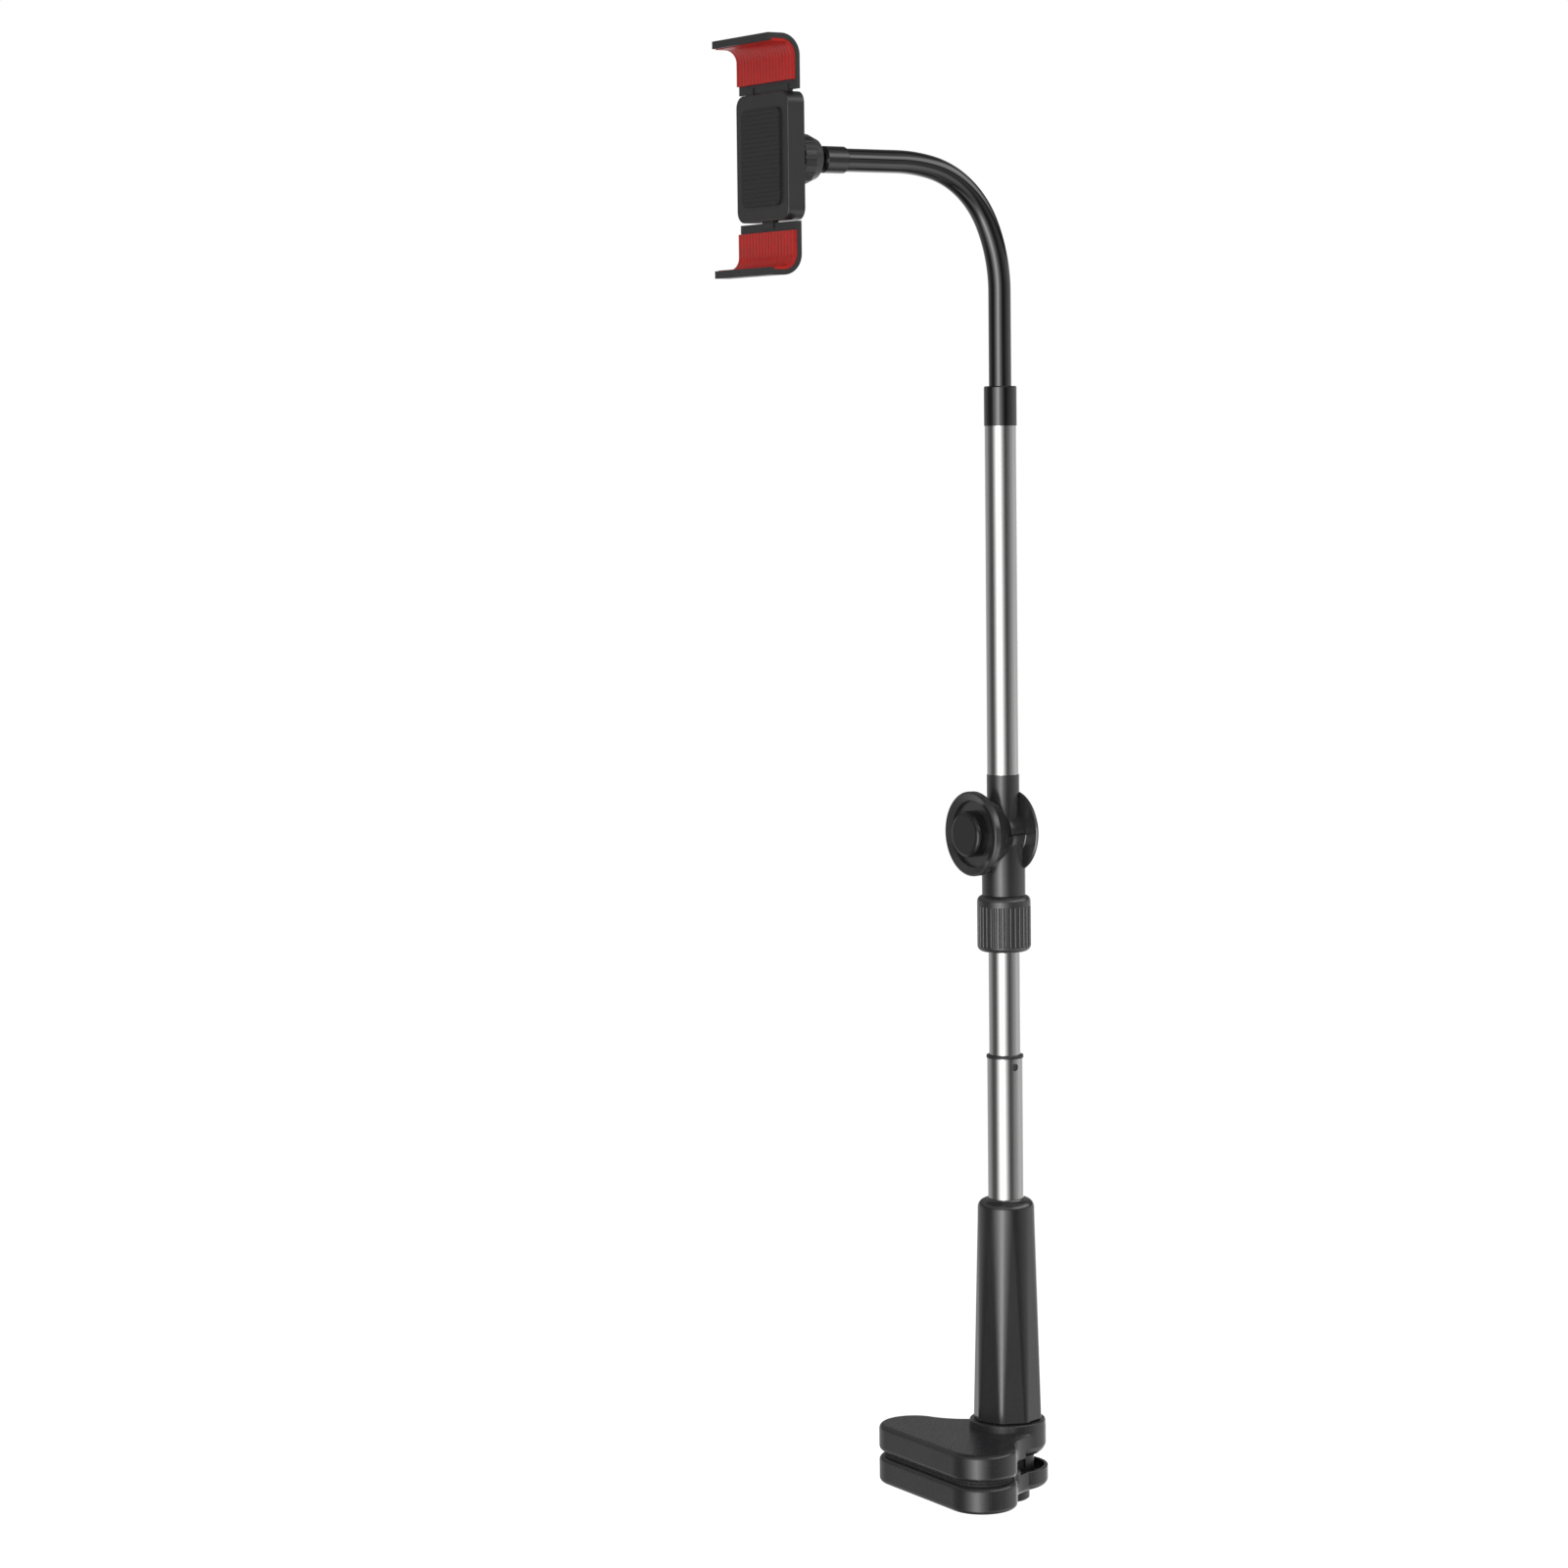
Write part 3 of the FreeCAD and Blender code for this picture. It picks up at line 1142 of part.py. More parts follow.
def arm_rail(inner, outer, low, high):
    return block(inner, outer, RAIL_FRONT + RUN, RAIL_BACK - RUN, low, high)


def upper_arm():
    mid = cradle_z()
    low = mid + arm_tail()
    top = mid + HALF_HEIGHT + ARM_GAP + ARM_ROOT
    pieces = [upper_hook()]
    pieces.append(arm_rail(SIDE_RAIL_IN, SIDE_RAIL_OUT, low, top))
    pieces.append(arm_rail(-SIDE_RAIL_OUT, -SIDE_RAIL_IN, low, top))
    pieces.append(spring_seat(SPRING_X, SIDE_RAIL_IN, low))
    return fused(pieces)


def lower_arm():
    mid = cradle_z()
    top = mid - arm_tail()
    low = mid - HALF_HEIGHT - ARM_GAP - ARM_ROOT
    pieces = [mirrored(upper_hook())]
    pieces.append(arm_rail(-MID_RAIL, MID_RAIL, low, top))
    pieces.append(spring_seat(-SPRING_X, -MID_RAIL, top - TAIL_THICK))
    return fused(pieces)


def spring_span():
    low = arm_tail() + TAIL_THICK
    return low + 0.05, HALF_HEIGHT - END_WALL - 0.05


def arm_spring():
    low, high = spring_span()
    spring = coil(SPRING_R, SPRING_WIRE, SPRING_TURNS, high - low)
    spring.translate(V(SPRING_X, (RAIL_FRONT + RAIL_BACK) / 2 + SPRING_DEPTH, cradle_z() + low))
    return spring


def lower_arm_spring():
    mid = cradle_z()
    spring = arm_spring()
    spring.rotate(V(0, 0, mid), V(0, 1, 0), 180)
    return spring


def main():
    parts = {}
    parts["upper_jaw_shell"] = upper_jaw_shell()
    parts["upper_jaw_plate"] = upper_jaw_plate()
    parts["upper_jaw_pad"] = grip_pad(0.0)
    parts["upper_jaw_screws"] = jaw_screws(PAD_THICK, True)
    parts["handle_retainer"] = handle_retainer()
    parts["lower_jaw_shell"] = lower_jaw_shell()
    parts["lower_jaw_plate"] = lower_jaw_plate()
    parts["lower_jaw_pad"] = grip_pad(LOWER_JAW_TOP + 0.05)
    parts["lower_jaw_screws"] = jaw_screws(LOWER_JAW_TOP, False)
    parts["guide_column"] = guide_column()
    parts["column_nut"] = column_nut()
    parts["column_cap"] = column_cap()
    parts["handle_shell"] = handle_shell()
    parts["handle_cap"] = handle_cap()
    parts["lead_screw"] = lead_screw()
    parts["tube_pin"] = tube_pin()
    parts["lower_tube"] = lower_tube()
    parts["tube_bush"] = tube_bush()
    parts["mid_tube"] = mid_tube()
    parts["mid_tube_plug"] = mid_tube_plug()
    parts["snap_spring"] = snap_spring()
    parts["lock_collar"] = lock_collar()
    parts["elbow_fork"] = elbow_fork()
    parts["elbow_button"] = elbow_button()
    parts["button_ring"] = button_ring()
    parts["button_spring"] = button_spring()
    parts["hinge_pin"] = hinge_pin()
    parts["back_cap"] = back_cap()
    parts["elbow_head"] = elbow_head()
    parts["upper_tube"] = upper_tube()
    parts["neck_ferrule"] = neck_ferrule()
    for number in range(JOINT_COUNT + 1):
        parts["neck_link_%d" % (number + 1)] = neck_link(number)
    parts["neck_tip"] = neck_tip()
    parts["ball_liner"] = ball_liner()
    parts["ball_lock_nut"] = ball_lock_nut()
    parts["cradle_housing"] = cradle_housing()
    parts["cradle_cover"] = cradle_cover()
    parts["cover_pad"] = cover_pad()
    parts["cradle_screws"] = cradle_screws()
    parts["upper_arm"] = upper_arm()
    parts["upper_grip"] = grip_lining()
    parts["lower_arm"] = lower_arm()
    parts["lower_grip"] = mirrored(grip_lining())
    parts["upper_spring"] = arm_spring()
    parts["lower_spring"] = lower_arm_spring()
    for name in ELBOW_PIECES:
        parts[name].rotate(V(0, 0, 0), V(0, 0, 1), ELBOW_TURN)
    os.makedirs("parts", exist_ok=True)
    for name, shape in parts.items():
        shape.exportStep("parts/%s.step" % name)


main()
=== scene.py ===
import json
import math

import bmesh
import bpy
from mathutils import Matrix, Vector


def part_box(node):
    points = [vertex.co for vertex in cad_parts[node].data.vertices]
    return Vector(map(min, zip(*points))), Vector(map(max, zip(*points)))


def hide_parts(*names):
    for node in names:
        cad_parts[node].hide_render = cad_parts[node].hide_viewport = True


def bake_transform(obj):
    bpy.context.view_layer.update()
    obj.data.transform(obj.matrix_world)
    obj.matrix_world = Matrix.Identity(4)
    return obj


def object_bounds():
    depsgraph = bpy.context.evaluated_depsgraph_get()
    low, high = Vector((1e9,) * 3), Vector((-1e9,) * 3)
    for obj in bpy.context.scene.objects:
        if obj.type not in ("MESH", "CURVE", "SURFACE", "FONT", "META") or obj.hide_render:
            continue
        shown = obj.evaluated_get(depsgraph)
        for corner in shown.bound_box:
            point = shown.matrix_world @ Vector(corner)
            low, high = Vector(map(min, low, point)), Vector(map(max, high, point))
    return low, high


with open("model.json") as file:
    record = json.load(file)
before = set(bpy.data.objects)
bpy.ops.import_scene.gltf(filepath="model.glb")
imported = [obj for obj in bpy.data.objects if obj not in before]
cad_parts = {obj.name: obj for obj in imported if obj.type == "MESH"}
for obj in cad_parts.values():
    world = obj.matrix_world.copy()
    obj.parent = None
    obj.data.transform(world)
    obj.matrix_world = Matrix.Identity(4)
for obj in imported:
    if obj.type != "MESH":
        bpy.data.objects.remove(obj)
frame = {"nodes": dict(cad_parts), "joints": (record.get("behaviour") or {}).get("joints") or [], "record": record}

cad_low, cad_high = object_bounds()
nodes = frame["nodes"]
joints = {joint["name"]: joint for joint in frame["joints"]}
ferrule_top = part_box("neck_ferrule")[1].z

MM = 0.001

# Camera: where it stands seen from the pole, in metres, and how it is turned
CAMERA_AZIMUTH = math.radians(55.5)
CAMERA_DISTANCE = 2.8156
CAMERA_HEIGHT = 0.7170
CAMERA_DOWN = math.radians(4.897)
CAMERA_LEFT = math.radians(3.103)
CAMERA_ROLL = math.radians(-0.675)
CAMERA_LENS = 93.1       # millimetres, as is the sensor
CAMERA_SENSOR = 36.0
CAMERA_NEAR = 0.05
CAMERA_FAR = 60.0

# Studio. Lights turn in degrees from the camera, seen from the pole
FLOOR_HALF = 9.0
FLOOR_DROP = 54 * MM     # room under the clamp, for its lower jaw to open into
FLOOR_WHITE = 0.9
FLOOR_ROUGHNESS = 0.9
FLOOR_GLOW = 0.74        # white that the floor has of itself, beside what lights it
KEY_TURN = -16.0
KEY_DISTANCE = 2.4
KEY_HEIGHT = 0.7
KEY_SIZE = (2.6, 3.4)
KEY_LIGHT = 1.3
TOP_TURN = 12.0
TOP_DISTANCE = 1.3
TOP_HEIGHT = 2.5
TOP_SIZE = (2.2, 1.0)
TOP_LIGHT = 0.8
AMBIENT = 0.3

# Room that glossy surfaces mirror. Turns run in degrees from the camera, heights from 0 straight
# down to 1 straight up. Tone at eye level by turn, and the share of it left by height
ROOM_TURNS = [(-180, 1.0), (-168, 0.6), (-140, 0.5), (-111, 0.36), (-96, 0.19), (-84, 0.1),
              (-66, 0.1), (-57, 0.3), (-48, 0.75), (-38, 1.3), (-27, 2.3), (-20, 3.3), (-12, 3.3),
              (-4, 1.7), (6, 1.05), (15, 0.6), (24, 0.22), (32, 0.08), (42, 0.08), (52, 0.18),
              (65, 0.3), (82, 0.42), (102, 0.66), (140, 0.6), (150, 0.8), (160, 1.4), (172, 1.4),
              (180, 1.0)]
ROOM_LEVELS = [(0.0, 0.2), (0.12, 0.25), (0.2, 1.0), (0.55, 1.0), (0.575, 0.15), (0.62, 0.06),
               (1.0, 0.1)]
# Tone added by height, and the share of it by turn
ROOM_BANDS = [(0.0, 0.2), (0.07, 0.25), (0.12, 0.6), (0.26, 0.6), (0.34, 0.0), (0.6, 0.0),
              (0.68, 1.5), (0.78, 1.8), (0.86, 0.3), (1.0, 0.3)]
ROOM_SIDES = [(-180, 0.1), (-60, 0.2), (20, 0.35), (45, 1.0), (105, 1.0), (130, 0.1),
              (180, 0.1)]

# Gooseneck's middle line above the ferrule: a straight, then bends of a radius and an angle
NECK_STRAIGHT = 64.7 * MM
NECK_BENDS = [(110 * MM, 25.0), (67 * MM, 52.0), (125 * MM, 13.0)]
SEARCH_STEP = 0.25 * MM
SEARCH_END = 300 * MM    # past the last joint
BEYOND = 1.0             # past the gooseneck's level end

# Gooseneck's skin
SLEEVE_SIDES = 48
SLEEVE_STEP = 2.5 * MM
SLEEVE_TUCK = 3 * MM     # end hidden in the ferrule and in the end fitting
BLEND_HALF = 21 * MM     # distance on each side of a joint at which points of the middle line are found

# Finishes by material slot. Tones are linear, depths and pitches in millimetres
CHARCOAL = (0.027, 0.027, 0.028)
# Moulded plastic: tone, roughness, depth of its grain, index of refraction
MOULDED = {
    "clamp_plastic": (CHARCOAL, 0.25, 0.004, 1.7),
    "handle_plastic": (CHARCOAL, 0.18, 0.004, 1.85),
    "column_plastic": ((0.018, 0.018, 0.019), 0.4, 0.008, 1.7),
    "collar_plastic": ((0.036, 0.036, 0.037), 0.28, 0.006, 1.85),
    "elbow_plastic": ((0.034, 0.034, 0.035), 0.22, 0.006, 1.85),
    "button_plastic": ((0.014, 0.014, 0.015), 0.22, 0.004, 1.6),
    "bush_plastic": ((0.02, 0.02, 0.02), 0.4, 0.008, 1.7),
    "cradle_plastic": ((0.022, 0.022, 0.023), 0.38, 0.008, 1.7),
    "liner_plastic": ((0.55, 0.55, 0.52), 0.45, 0.008, 1.7),
}
# Ribbed rubber: tone, axis that the ridges follow one another along, their pitch, roughness
RIBBED = {
    "clamp_rubber": ((0.03, 0.03, 0.03), "X", 3.0, 0.62),
    "cradle_pad": ((0.022, 0.022, 0.022), "Z", 3.0, 0.62),
    "grip_red": ((0.5, 0.016, 0.012), "X", 4.0, 0.38),
}
# Glossy black: roughness
GLOSSY = {"neck_rubber": 0.07, "ferrule_plastic": 0.07, "tip_metal": 0.24}
GLOSSY_TONE = (0.003, 0.003, 0.003)
GLOSSY_INDEX = 1.9
# Turned or plated metal: colour, roughness
TURNED = {
    "steel": ((0.42, 0.42, 0.43), 0.3),
    "spring_steel": ((0.13, 0.13, 0.135), 0.36),
    "nut_brass": ((0.72, 0.56, 0.28), 0.3),
}
# Nodes whose finish isn't the one of their slot
NODE_FINISHES = {"snap_spring": "spring_steel"}

# Parts of a noise's range that carry a tint and a change of roughness from end to end
TINT_LOW = 0.35
TINT_HIGH = 0.65
POLISH_LOW = 0.3
POLISH_HIGH = 0.7
WAVE_PHASE = 20          # radians that a wave texture of scale 1 runs through in a metre


# Shader nodes

def plain(slot, colour, roughness, metallic=0.0):
    """A Principled material named after its slot, with its node tree and shader."""
    material = bpy.data.materials.new(slot + "_finish")
    material.use_nodes = True
    tree = material.node_tree
    shader = tree.nodes["Principled BSDF"]
    shader.inputs["Base Color"].default_value = (*colour, 1)
    shader.inputs["Roughness"].default_value = roughness
    shader.inputs["Metallic"].default_value = metallic
    return material, tree, shader


def place(tree, scale):
    """The object's own coordinates in metres, stretched by scale."""
    source = tree.nodes.new("ShaderNodeTexCoord")
    mapping = tree.nodes.new("ShaderNodeMapping")
    mapping.inputs["Scale"].default_value = scale
    tree.links.new(source.outputs["Object"], mapping.inputs["Vector"])
    return mapping.outputs["Vector"]


def noise(tree, scale, detail=4.0, rough=0.55):
    """Noise with features of about one over scale, in metres; scale may differ along each axis."""
    texture = tree.nodes.new("ShaderNodeTexNoise")
    texture.inputs["Scale"].default_value = 1.0
    texture.inputs["Detail"].default_value = detail
    texture.inputs["Roughness"].default_value = rough
    spread = scale if isinstance(scale, tuple) else (scale, scale, scale)
    tree.links.new(place(tree, spread), texture.inputs["Vector"])
    return texture.outputs["Fac"]


def stripes(tree, direction, per_metre):
    """Even ridges that follow one another along an axis."""
    texture = tree.nodes.new("ShaderNodeTexWave")
    texture.wave_type = "BANDS"
    texture.bands_direction = direction
    texture.inputs["Scale"].default_value = per_metre * 2 * math.pi / WAVE_PHASE
    tree.links.new(place(tree, (1, 1, 1)), texture.inputs["Vector"])
    return texture.outputs["Fac"]


def remap(tree, value, low, high, to_low, to_high):
    """Value carried from one range to another, and held at the ends."""
    node = tree.nodes.new("ShaderNodeMapRange")
    node.inputs["From Min"].default_value = low
    node.inputs["From Max"].default_value = high
    node.inputs["To Min"].default_value = to_low
    node.inputs["To Max"].default_value = to_high
    tree.links.new(value, node.inputs["Value"])
    return node.outputs["Result"]


def tint(tree, shader, value, dark, light):
    """Base colour between two tones, following value."""
    ramp = tree.nodes.new("ShaderNodeValToRGB")
    first, last = ramp.color_ramp.elements
    first.position = TINT_LOW
    first.color = (*dark, 1)
    last.position = TINT_HIGH
    last.color = (*light, 1)
    tree.links.new(value, ramp.inputs["Fac"])
    tree.links.new(ramp.outputs["Color"], shader.inputs["Base Color"])


def polish(tree, shader, value, low, high):
    """Roughness between low and high, following value."""
    result = remap(tree, value, POLISH_LOW, POLISH_HIGH, low, high)
    tree.links.new(result, shader.inputs["Roughness"])


def relief(tree, shader, layers):
    """Stacks (value, depth in millimetres) layers as bumps."""
    normal = None
    for value, depth in layers:
        bump = tree.nodes.new("ShaderNodeBump")
        bump.inputs["Distance"].default_value = depth * MM
        tree.links.new(value, bump.inputs["Height"])
        if normal is not None:
            tree.links.new(normal, bump.inputs["Normal"])
        normal = bump.outputs["Normal"]
    tree.links.new(normal, shader.inputs["Normal"])


def times(tone, share):
    """Tone made darker or lighter by a share."""
    return tuple(channel * share for channel in tone)


# Materials

def moulded(slot, tone, roughness, grain_depth, index):
    """Moulded plastic: fine spark-eroded grain, slow flow marks, faint rub marks."""
    material, tree, shader = plain(slot, tone, roughness)
    flow = noise(tree, (45, 45, 22), detail=3.0)
    rub = noise(tree, (900, 900, 60), detail=5.0, rough=0.7)
    grain = noise(tree, 2600, detail=2.0)
    tint(tree, shader, flow, times(tone, 0.9), times(tone, 1.12))
    polish(tree, shader, rub, roughness - 0.04, roughness + 0.06)
    relief(tree, shader, [(flow, 0.04), (grain, grain_depth)])
    shader.inputs["IOR"].default_value = index
    return material


def ribbed_rubber(slot, tone, direction, pitch, roughness):
    """Rubber with fine moulded ridges and a little dust."""
    material, tree, shader = plain(slot, tone, roughness)
    dust = noise(tree, 160, detail=5.0, rough=0.7)
    grain = noise(tree, 3000, detail=2.0)
    tint(tree, shader, dust, tone, times(tone, 1.25))
    polish(tree, shader, dust, roughness - 0.06, roughness + 0.08)
    ridge = stripes(tree, direction, 1 / (pitch * MM))
    relief(tree, shader, [(ridge, 0.25), (grain, 0.02)])
    return material


def gloss_black(slot, roughness):
    """Glossy black moulding or skin with a faint orange-peel surface."""
    material, tree, shader = plain(slot, GLOSSY_TONE, roughness)
    peel = noise(tree, 420, detail=2.0)
    haze = noise(tree, 35, detail=3.0)
    tint(tree, shader, haze, (0.002, 0.002, 0.002), (0.0045, 0.0045, 0.0047))
    polish(tree, shader, haze, roughness - 0.03, roughness + 0.05)
    relief(tree, shader, [(peel, 0.008)])
    shader.inputs["IOR"].default_value = GLOSSY_INDEX
    return material


def turned_metal(slot, colour, roughness):
    """Small machined or plated metal part with fine tool marks."""
    material, tree, shader = plain(slot, colour, roughness, metallic=1.0)
    marks = noise(tree, (1500, 1500, 5000), detail=3.0)
    dull = noise(tree, 300)
    tint(tree, shader, dull, times(colour, 0.85), colour)
    polish(tree, shader, marks, roughness - 0.06, roughness + 0.08)
    relief(tree, shader, [(marks, 0.01)])
    return material


def drawn_aluminium(slot):
    """Satin drawn tube: lines along its length and slow changes of sheen."""
    material, tree, shader = plain(slot, (0.64, 0.64, 0.635), 0.2, metallic=1.0)
    lines = noise(tree, (3200, 3200, 9), rough=0.65)
    slow = noise(tree, (70, 70, 5), detail=2.0)
    tint(tree, shader, slow, (0.6, 0.6, 0.595), (0.68, 0.68, 0.675))
    polish(tree, shader, lines, 0.15, 0.24)
    relief(tree, shader, [(lines, 0.004)])
    return material


def finishes():
    """One material for each of the record's material slots, and one for the dark spring steel."""
    made = {"tube_aluminium": drawn_aluminium("tube_aluminium")}
    for slot, values in MOULDED.items():
        made[slot] = moulded(slot, *values)
    for slot, values in RIBBED.items():
        made[slot] = ribbed_rubber(slot, *values)
    for slot, roughness in GLOSSY.items():
        made[slot] = gloss_black(slot, roughness)
    for slot, values in TURNED.items():
        made[slot] = turned_metal(slot, *values)
    return made


def dress_cad(made):
    """Each CAD piece in the finish of its slot."""
    for row in frame["record"]["subparts"]:
        finish = made[NODE_FINISHES.get(row["node"], row["material_slot"])]
        for holder in nodes[row["node"]].material_slots:
            holder.material = finish


def added(name, data):
    """New object in the scene that shows some data."""
    thing = bpy.data.objects.new(name, data)
    bpy.context.scene.collection.objects.link(thing)
    return thing


# Gooseneck

def neck_point(along):
    """Point and forward lean of the gooseneck's middle, at a distance from the ferrule's top."""
    y, z = 0.0, ferrule_top
    lean = 0.0
    step = min(along, NECK_STRAIGHT)
    z += step
    along -= step
    for radius, degrees in NECK_BENDS:
        turn = min(max(along, 0.0) / radius, math.radians(degrees))
        y -= radius * (math.cos(lean) - math.cos(lean + turn))
        z += radius * (math.sin(lean + turn) - math.sin(lean))
        lean += turn
        along -= radius * turn
    rest = max(along, 0.0)
    y -= rest * math.sin(lean)
    z += rest * math.cos(lean)
    return Vector((0, y, z)), lean


def neck_distance(spot):
    """Distance along the gooseneck whose point lies nearest to a spot."""
    distances = [step * SEARCH_STEP for step in range(round(SEARCH_END / SEARCH_STEP))]
    return min(distances, key=lambda along: (neck_point(along)[0] - spot).length)


def sleeve_ring(build, along, radius):
    """Ring of corners around the gooseneck's middle, at a distance."""
    centre, lean = neck_point(along)
    up = Vector((0, math.cos(lean), math.sin(lean)))
    ring = []
    for side in range(SLEEVE_SIDES):
        angle = 2 * math.pi * side / SLEEVE_SIDES
        out = Vector((math.cos(angle), 0, 0)) + up * math.sin(angle)
        ring.append(build.verts.new(centre + out * radius))
    return ring


def sleeve(name, start, end, radius):
    """Round closed skin along the gooseneck between two distances, unrolled in its UV map."""
    mesh = bpy.data.meshes.new(name)
    build = bmesh.new()
    flat = build.loops.layers.uv.new("along")
    count = max(2, round((end - start) / SLEEVE_STEP))
    rings = []
    for step in range(count + 1):
        rings.append(sleeve_ring(build, start + (end - start) * step / count, radius))
    for step, (ring, further) in enumerate(zip(rings, rings[1:])):
        for side in range(SLEEVE_SIDES):
            after = (side + 1) % SLEEVE_SIDES
            face = build.faces.new([ring[side], ring[after], further[after], further[side]])
            face.smooth = True
            spots = [(side, step), (side + 1, step), (side + 1, step + 1), (side, step + 1)]
            for loop, (u, v) in zip(face.loops, spots):
                loop[flat].uv = (u / SLEEVE_SIDES, v / count)
    for ring in (list(reversed(rings[0])), rings[-1]):
        build.faces.new([build.verts.new(corner.co) for corner in ring])
    build.to_mesh(mesh)
    build.free()
    return added(name, mesh)


def dress_neck(made):
    """One smooth skin in five lengths, each over one joint of the links, which it stands for and hides."""
    bends = [joints["neck_bend_%d" % number] for number in range(1, 6)]
    stops = [neck_distance(Vector(bend["pos_m"])) for bend in bends]
    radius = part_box("neck_link_1")[1].x
    tip_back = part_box("neck_tip")[1].y
    reach = BEYOND - (tip_back - neck_point(BEYOND)[0].y) + SLEEVE_TUCK
    cuts = [-SLEEVE_TUCK]
    for first, second in zip(stops, stops[1:]):
        cuts.append((first + second) / 2)
    cuts.append(reach)
    for number, bend in enumerate(bends):
        piece = sleeve("neck_sleeve_%d" % (number + 1), cuts[number], cuts[number + 1], radius)
        piece.data.materials.append(made["neck_rubber"])
        stood_for = ["neck_link_%d" % (number + 1)]
        if number == len(bends) - 1:
            stood_for.append("neck_link_%d" % (number + 2))
        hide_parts(*stood_for)
        before = neck_point(stops[number] - BLEND_HALF)[0]
        after = neck_point(stops[number] + BLEND_HALF)[0]
        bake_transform(piece)


# Studio

def from_pole(angle):
    """Level direction from the pole; 0 is the front and a quarter turn the right side."""
    return Vector((math.sin(angle), -math.cos(angle), 0))


def camera():
    """Camera that sees the object as the photo does."""
    data = bpy.data.cameras.new("camera")
    data.lens = CAMERA_LENS
    data.sensor_width = CAMERA_SENSOR
    data.clip_start = CAMERA_NEAR
    data.clip_end = CAMERA_FAR
    spot = from_pole(CAMERA_AZIMUTH) * CAMERA_DISTANCE
    spot.z = CAMERA_HEIGHT
    facing = CAMERA_AZIMUTH + math.pi / 2 + CAMERA_LEFT
    level = math.cos(CAMERA_DOWN)
    ahead = Vector((math.cos(facing) * level, math.sin(facing) * level, -math.sin(CAMERA_DOWN)))
    right = ahead.cross(Vector((0, 0, 1))).normalized()
    up = right.cross(ahead)
    rolled = Matrix.Rotation(CAMERA_ROLL, 3, -ahead)
    turn = Matrix((rolled @ right, rolled @ up, -ahead)).transposed()
    thing = added("camera", data)
    thing.matrix_world = Matrix.Translation(spot) @ turn.to_4x4()
    bpy.context.scene.camera = thing


def soft_box(name, turn, distance, height, size, light, aim):
    """Soft box at an angle from the camera; glossy surfaces mirror the room in its place."""
    spot = from_pole(CAMERA_AZIMUTH + math.radians(turn)) * distance
    spot.z = height
    data = bpy.data.lights.new(name, "AREA")
    data.shape = "RECTANGLE"
    data.size = size[0]
    data.size_y = size[1]
    data.energy = light * math.pi * size[0] * size[1]
    thing = added(name, data)
    thing.location = spot
    thing.rotation_mode = "QUATERNION"
    thing.rotation_quaternion = (aim - spot).to_track_quat("-Z", "Y")
    thing.visible_glossy = False


def leaning(tree, direction, other):
    """How far a world direction points along another."""
    dot = tree.nodes.new("ShaderNodeVectorMath")
    dot.operation = "DOT_PRODUCT"
    dot.inputs[1].default_value = other
    tree.links.new(direction, dot.inputs[0])
    return dot.outputs["Value"]


def tones(tree, value, stops):
    """Grey tones between (share, tone) stops, following value."""
    ramp = tree.nodes.new("ShaderNodeValToRGB")
    while len(ramp.color_ramp.elements) < len(stops):
        ramp.color_ramp.elements.new(0.5)
    for element, (share, tone) in zip(ramp.color_ramp.elements, stops):
        element.position = share
        element.color = (tone, tone, tone, 1)
    tree.links.new(value, ramp.inputs["Fac"])
    return ramp.outputs["Color"]


def room(tree):
    """Tone of the room in each world direction: a soft box by the camera, dim walls, pale back."""
    direction = tree.nodes.new("ShaderNodeTexCoord").outputs["Generated"]
    turn = tree.nodes.new("ShaderNodeMath")
    turn.operation = "ARCTAN2"
    ahead = leaning(tree, direction, from_pole(CAMERA_AZIMUTH))
    across = leaning(tree, direction, from_pole(CAMERA_AZIMUTH + math.pi / 2))
    tree.links.new(across, turn.inputs[0])
    tree.links.new(ahead, turn.inputs[1])
    share = remap(tree, turn.outputs["Value"], -math.pi, math.pi, 0.0, 1.0)
    height = remap(tree, leaning(tree, direction, (0, 0, 1)), -1.0, 1.0, 0.0, 1.0)
    total = None
    for turns, heights in ((ROOM_TURNS, ROOM_LEVELS), (ROOM_SIDES, ROOM_BANDS)):
        product = tree.nodes.new("ShaderNodeVectorMath")
        product.operation = "MULTIPLY_ADD"
        shares = [((degrees + 180) / 360, tone) for degrees, tone in turns]
        tree.links.new(tones(tree, share, shares), product.inputs[0])
        tree.links.new(tones(tree, height, heights), product.inputs[1])
        product.inputs[2].default_value = (0, 0, 0)
        if total is not None:
            tree.links.new(total, product.inputs[2])
        total = product.outputs["Vector"]
    return total


def background(tree, strength):
    """Even white background of a strength."""
    node = tree.nodes.new("ShaderNodeBackground")
    node.inputs["Color"].default_value = (1, 1, 1, 1)
    node.inputs["Strength"].default_value = strength
    return node


def either(tree, rays, others, shown):
    """The last shader for one kind of ray, the one before it for all others."""
    mix = tree.nodes.new("ShaderNodeMixShader")
    tree.links.new(rays, mix.inputs["Fac"])
    tree.links.new(others, mix.inputs[1])
    tree.links.new(shown, mix.inputs[2])
    return mix.outputs["Shader"]


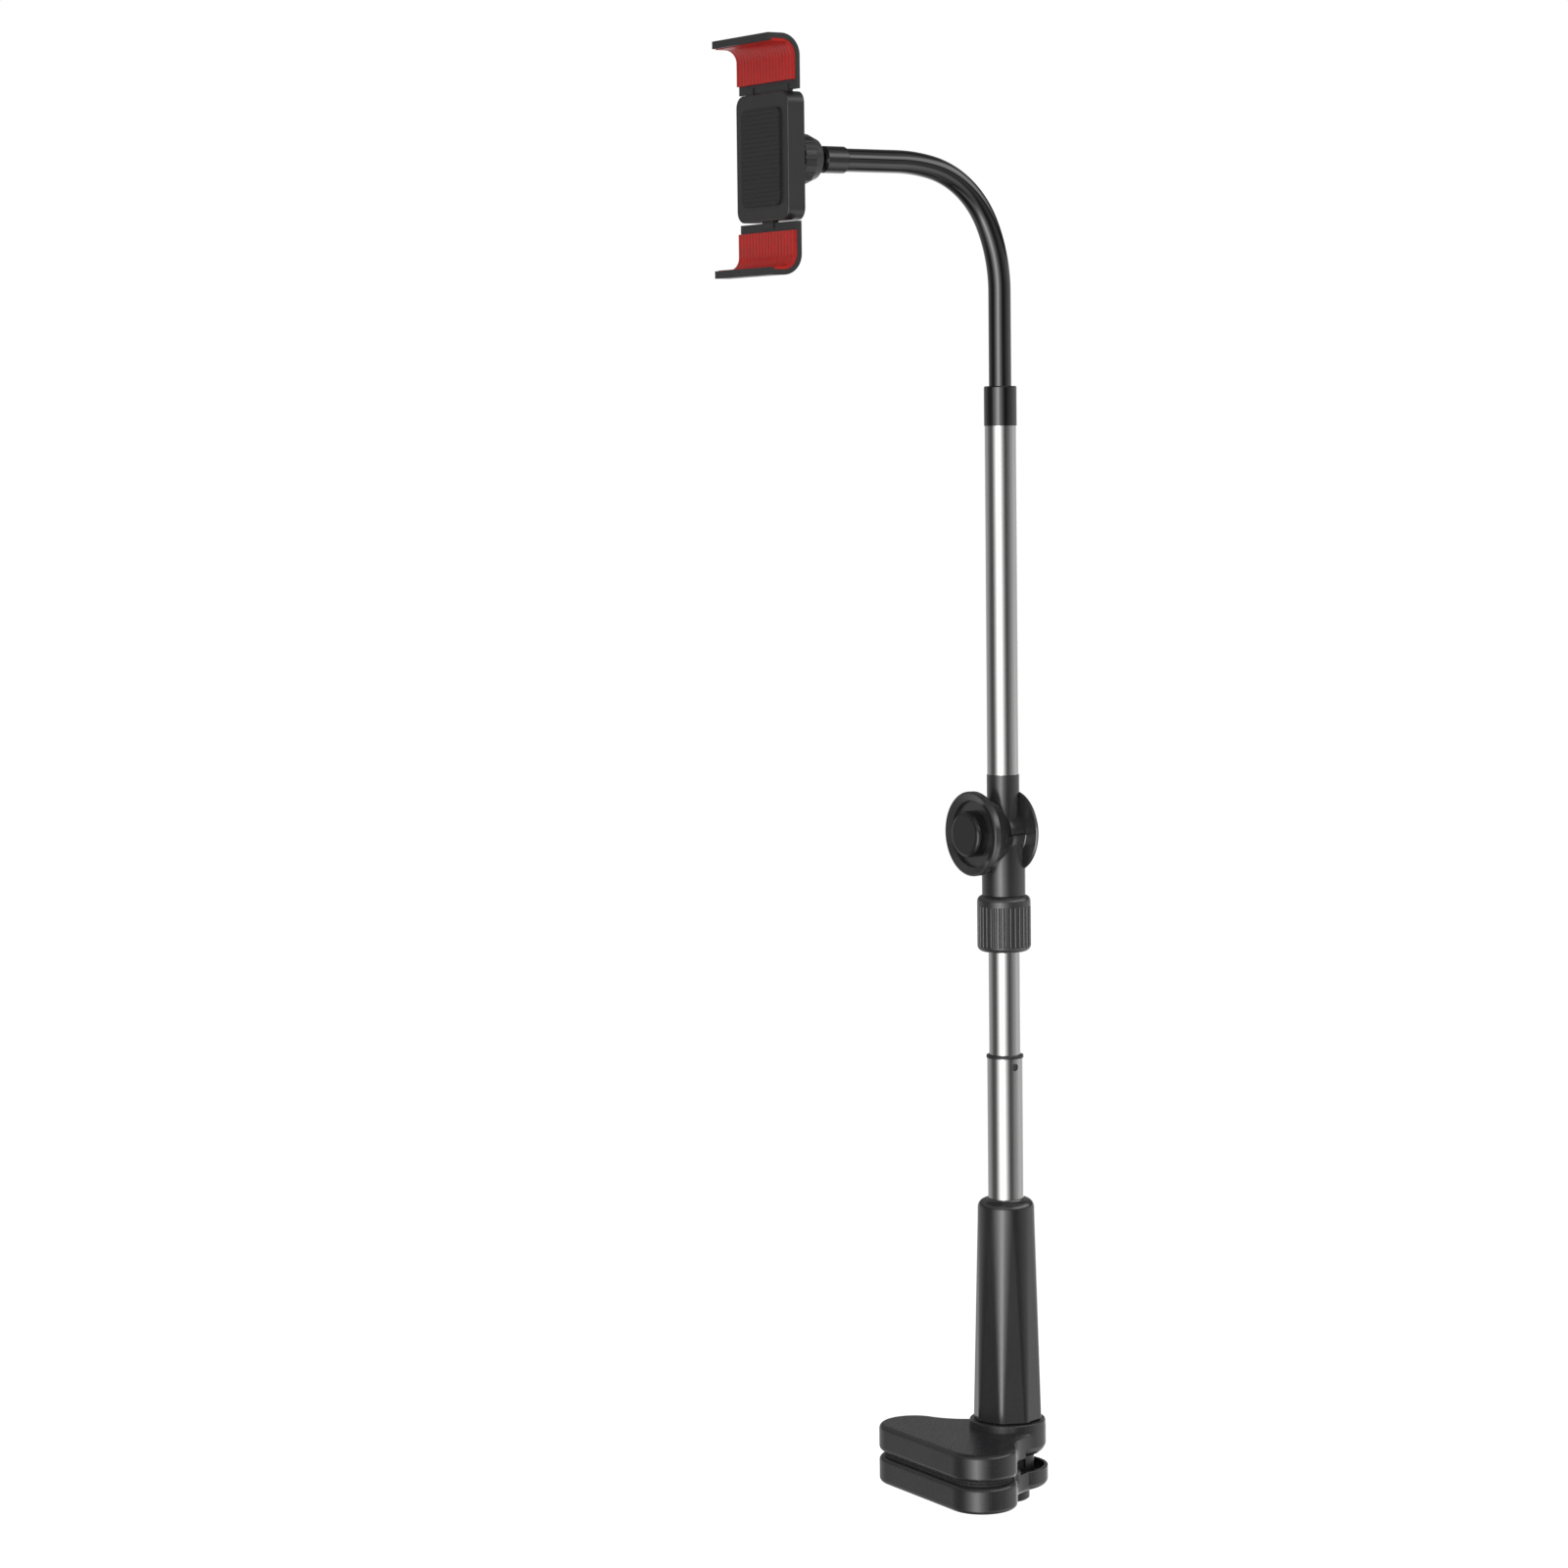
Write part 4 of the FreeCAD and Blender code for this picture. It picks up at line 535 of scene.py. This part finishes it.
def studio_world():
    """White for the camera, a dim even light, and a banded room for glossy surfaces to mirror."""
    world = bpy.data.worlds.new("studio")
    bpy.context.scene.world = world
    world.use_nodes = True
    tree = world.node_tree
    tree.nodes.clear()
    output = tree.nodes.new("ShaderNodeOutputWorld")
    rays = tree.nodes.new("ShaderNodeLightPath").outputs
    ambient = background(tree, AMBIENT).outputs["Background"]
    white = background(tree, 1.0).outputs["Background"]
    walls = background(tree, 1.0)
    tree.links.new(room(tree), walls.inputs["Color"])
    lit = either(tree, rays["Is Glossy Ray"], ambient, walls.outputs["Background"])
    seen = either(tree, rays["Is Camera Ray"], lit, white)
    tree.links.new(seen, output.inputs["Surface"])


def floor_finish():
    """Matt white that glows for the camera alone, and that glossy rays pass through."""
    white = (FLOOR_WHITE, FLOOR_WHITE, FLOOR_WHITE)
    material, tree, shader = plain("floor", white, FLOOR_ROUGHNESS)
    shader.inputs["Specular IOR Level"].default_value = 0.0
    rays = tree.nodes.new("ShaderNodeLightPath").outputs
    glow = tree.nodes.new("ShaderNodeEmission")
    strength = remap(tree, rays["Is Camera Ray"], 0.0, 1.0, 0.0, FLOOR_GLOW)
    tree.links.new(strength, glow.inputs["Strength"])
    both = tree.nodes.new("ShaderNodeAddShader")
    tree.links.new(shader.outputs["BSDF"], both.inputs[0])
    tree.links.new(glow.outputs["Emission"], both.inputs[1])
    clear = tree.nodes.new("ShaderNodeBsdfTransparent").outputs["BSDF"]
    seen = either(tree, rays["Is Glossy Ray"], both.outputs["Shader"], clear)
    tree.links.new(seen, tree.nodes["Material Output"].inputs["Surface"])
    return material


def floor():
    """Pale floor that keeps a soft shadow."""
    half = FLOOR_HALF
    level = cad_low.z - FLOOR_DROP
    sides = ((-half, -half), (half, -half), (half, half), (-half, half))
    corners = [(x, y, level) for x, y in sides]
    mesh = bpy.data.meshes.new("floor")
    mesh.from_pydata(corners, [], [(0, 1, 2, 3)])
    mesh.materials.append(floor_finish())
    added("floor", mesh)


def studio():
    """Camera, room, floor and two soft boxes aimed at the object's middle."""
    bpy.context.scene.view_settings.view_transform = "Standard"
    camera()
    studio_world()
    floor()
    middle = Vector((0, 0, (cad_low.z + cad_high.z) / 2))
    soft_box("key", KEY_TURN, KEY_DISTANCE, KEY_HEIGHT, KEY_SIZE, KEY_LIGHT, middle)
    soft_box("top", TOP_TURN, TOP_DISTANCE, TOP_HEIGHT, TOP_SIZE, TOP_LIGHT, middle)


made = finishes()
dress_cad(made)
dress_neck(made)
studio()
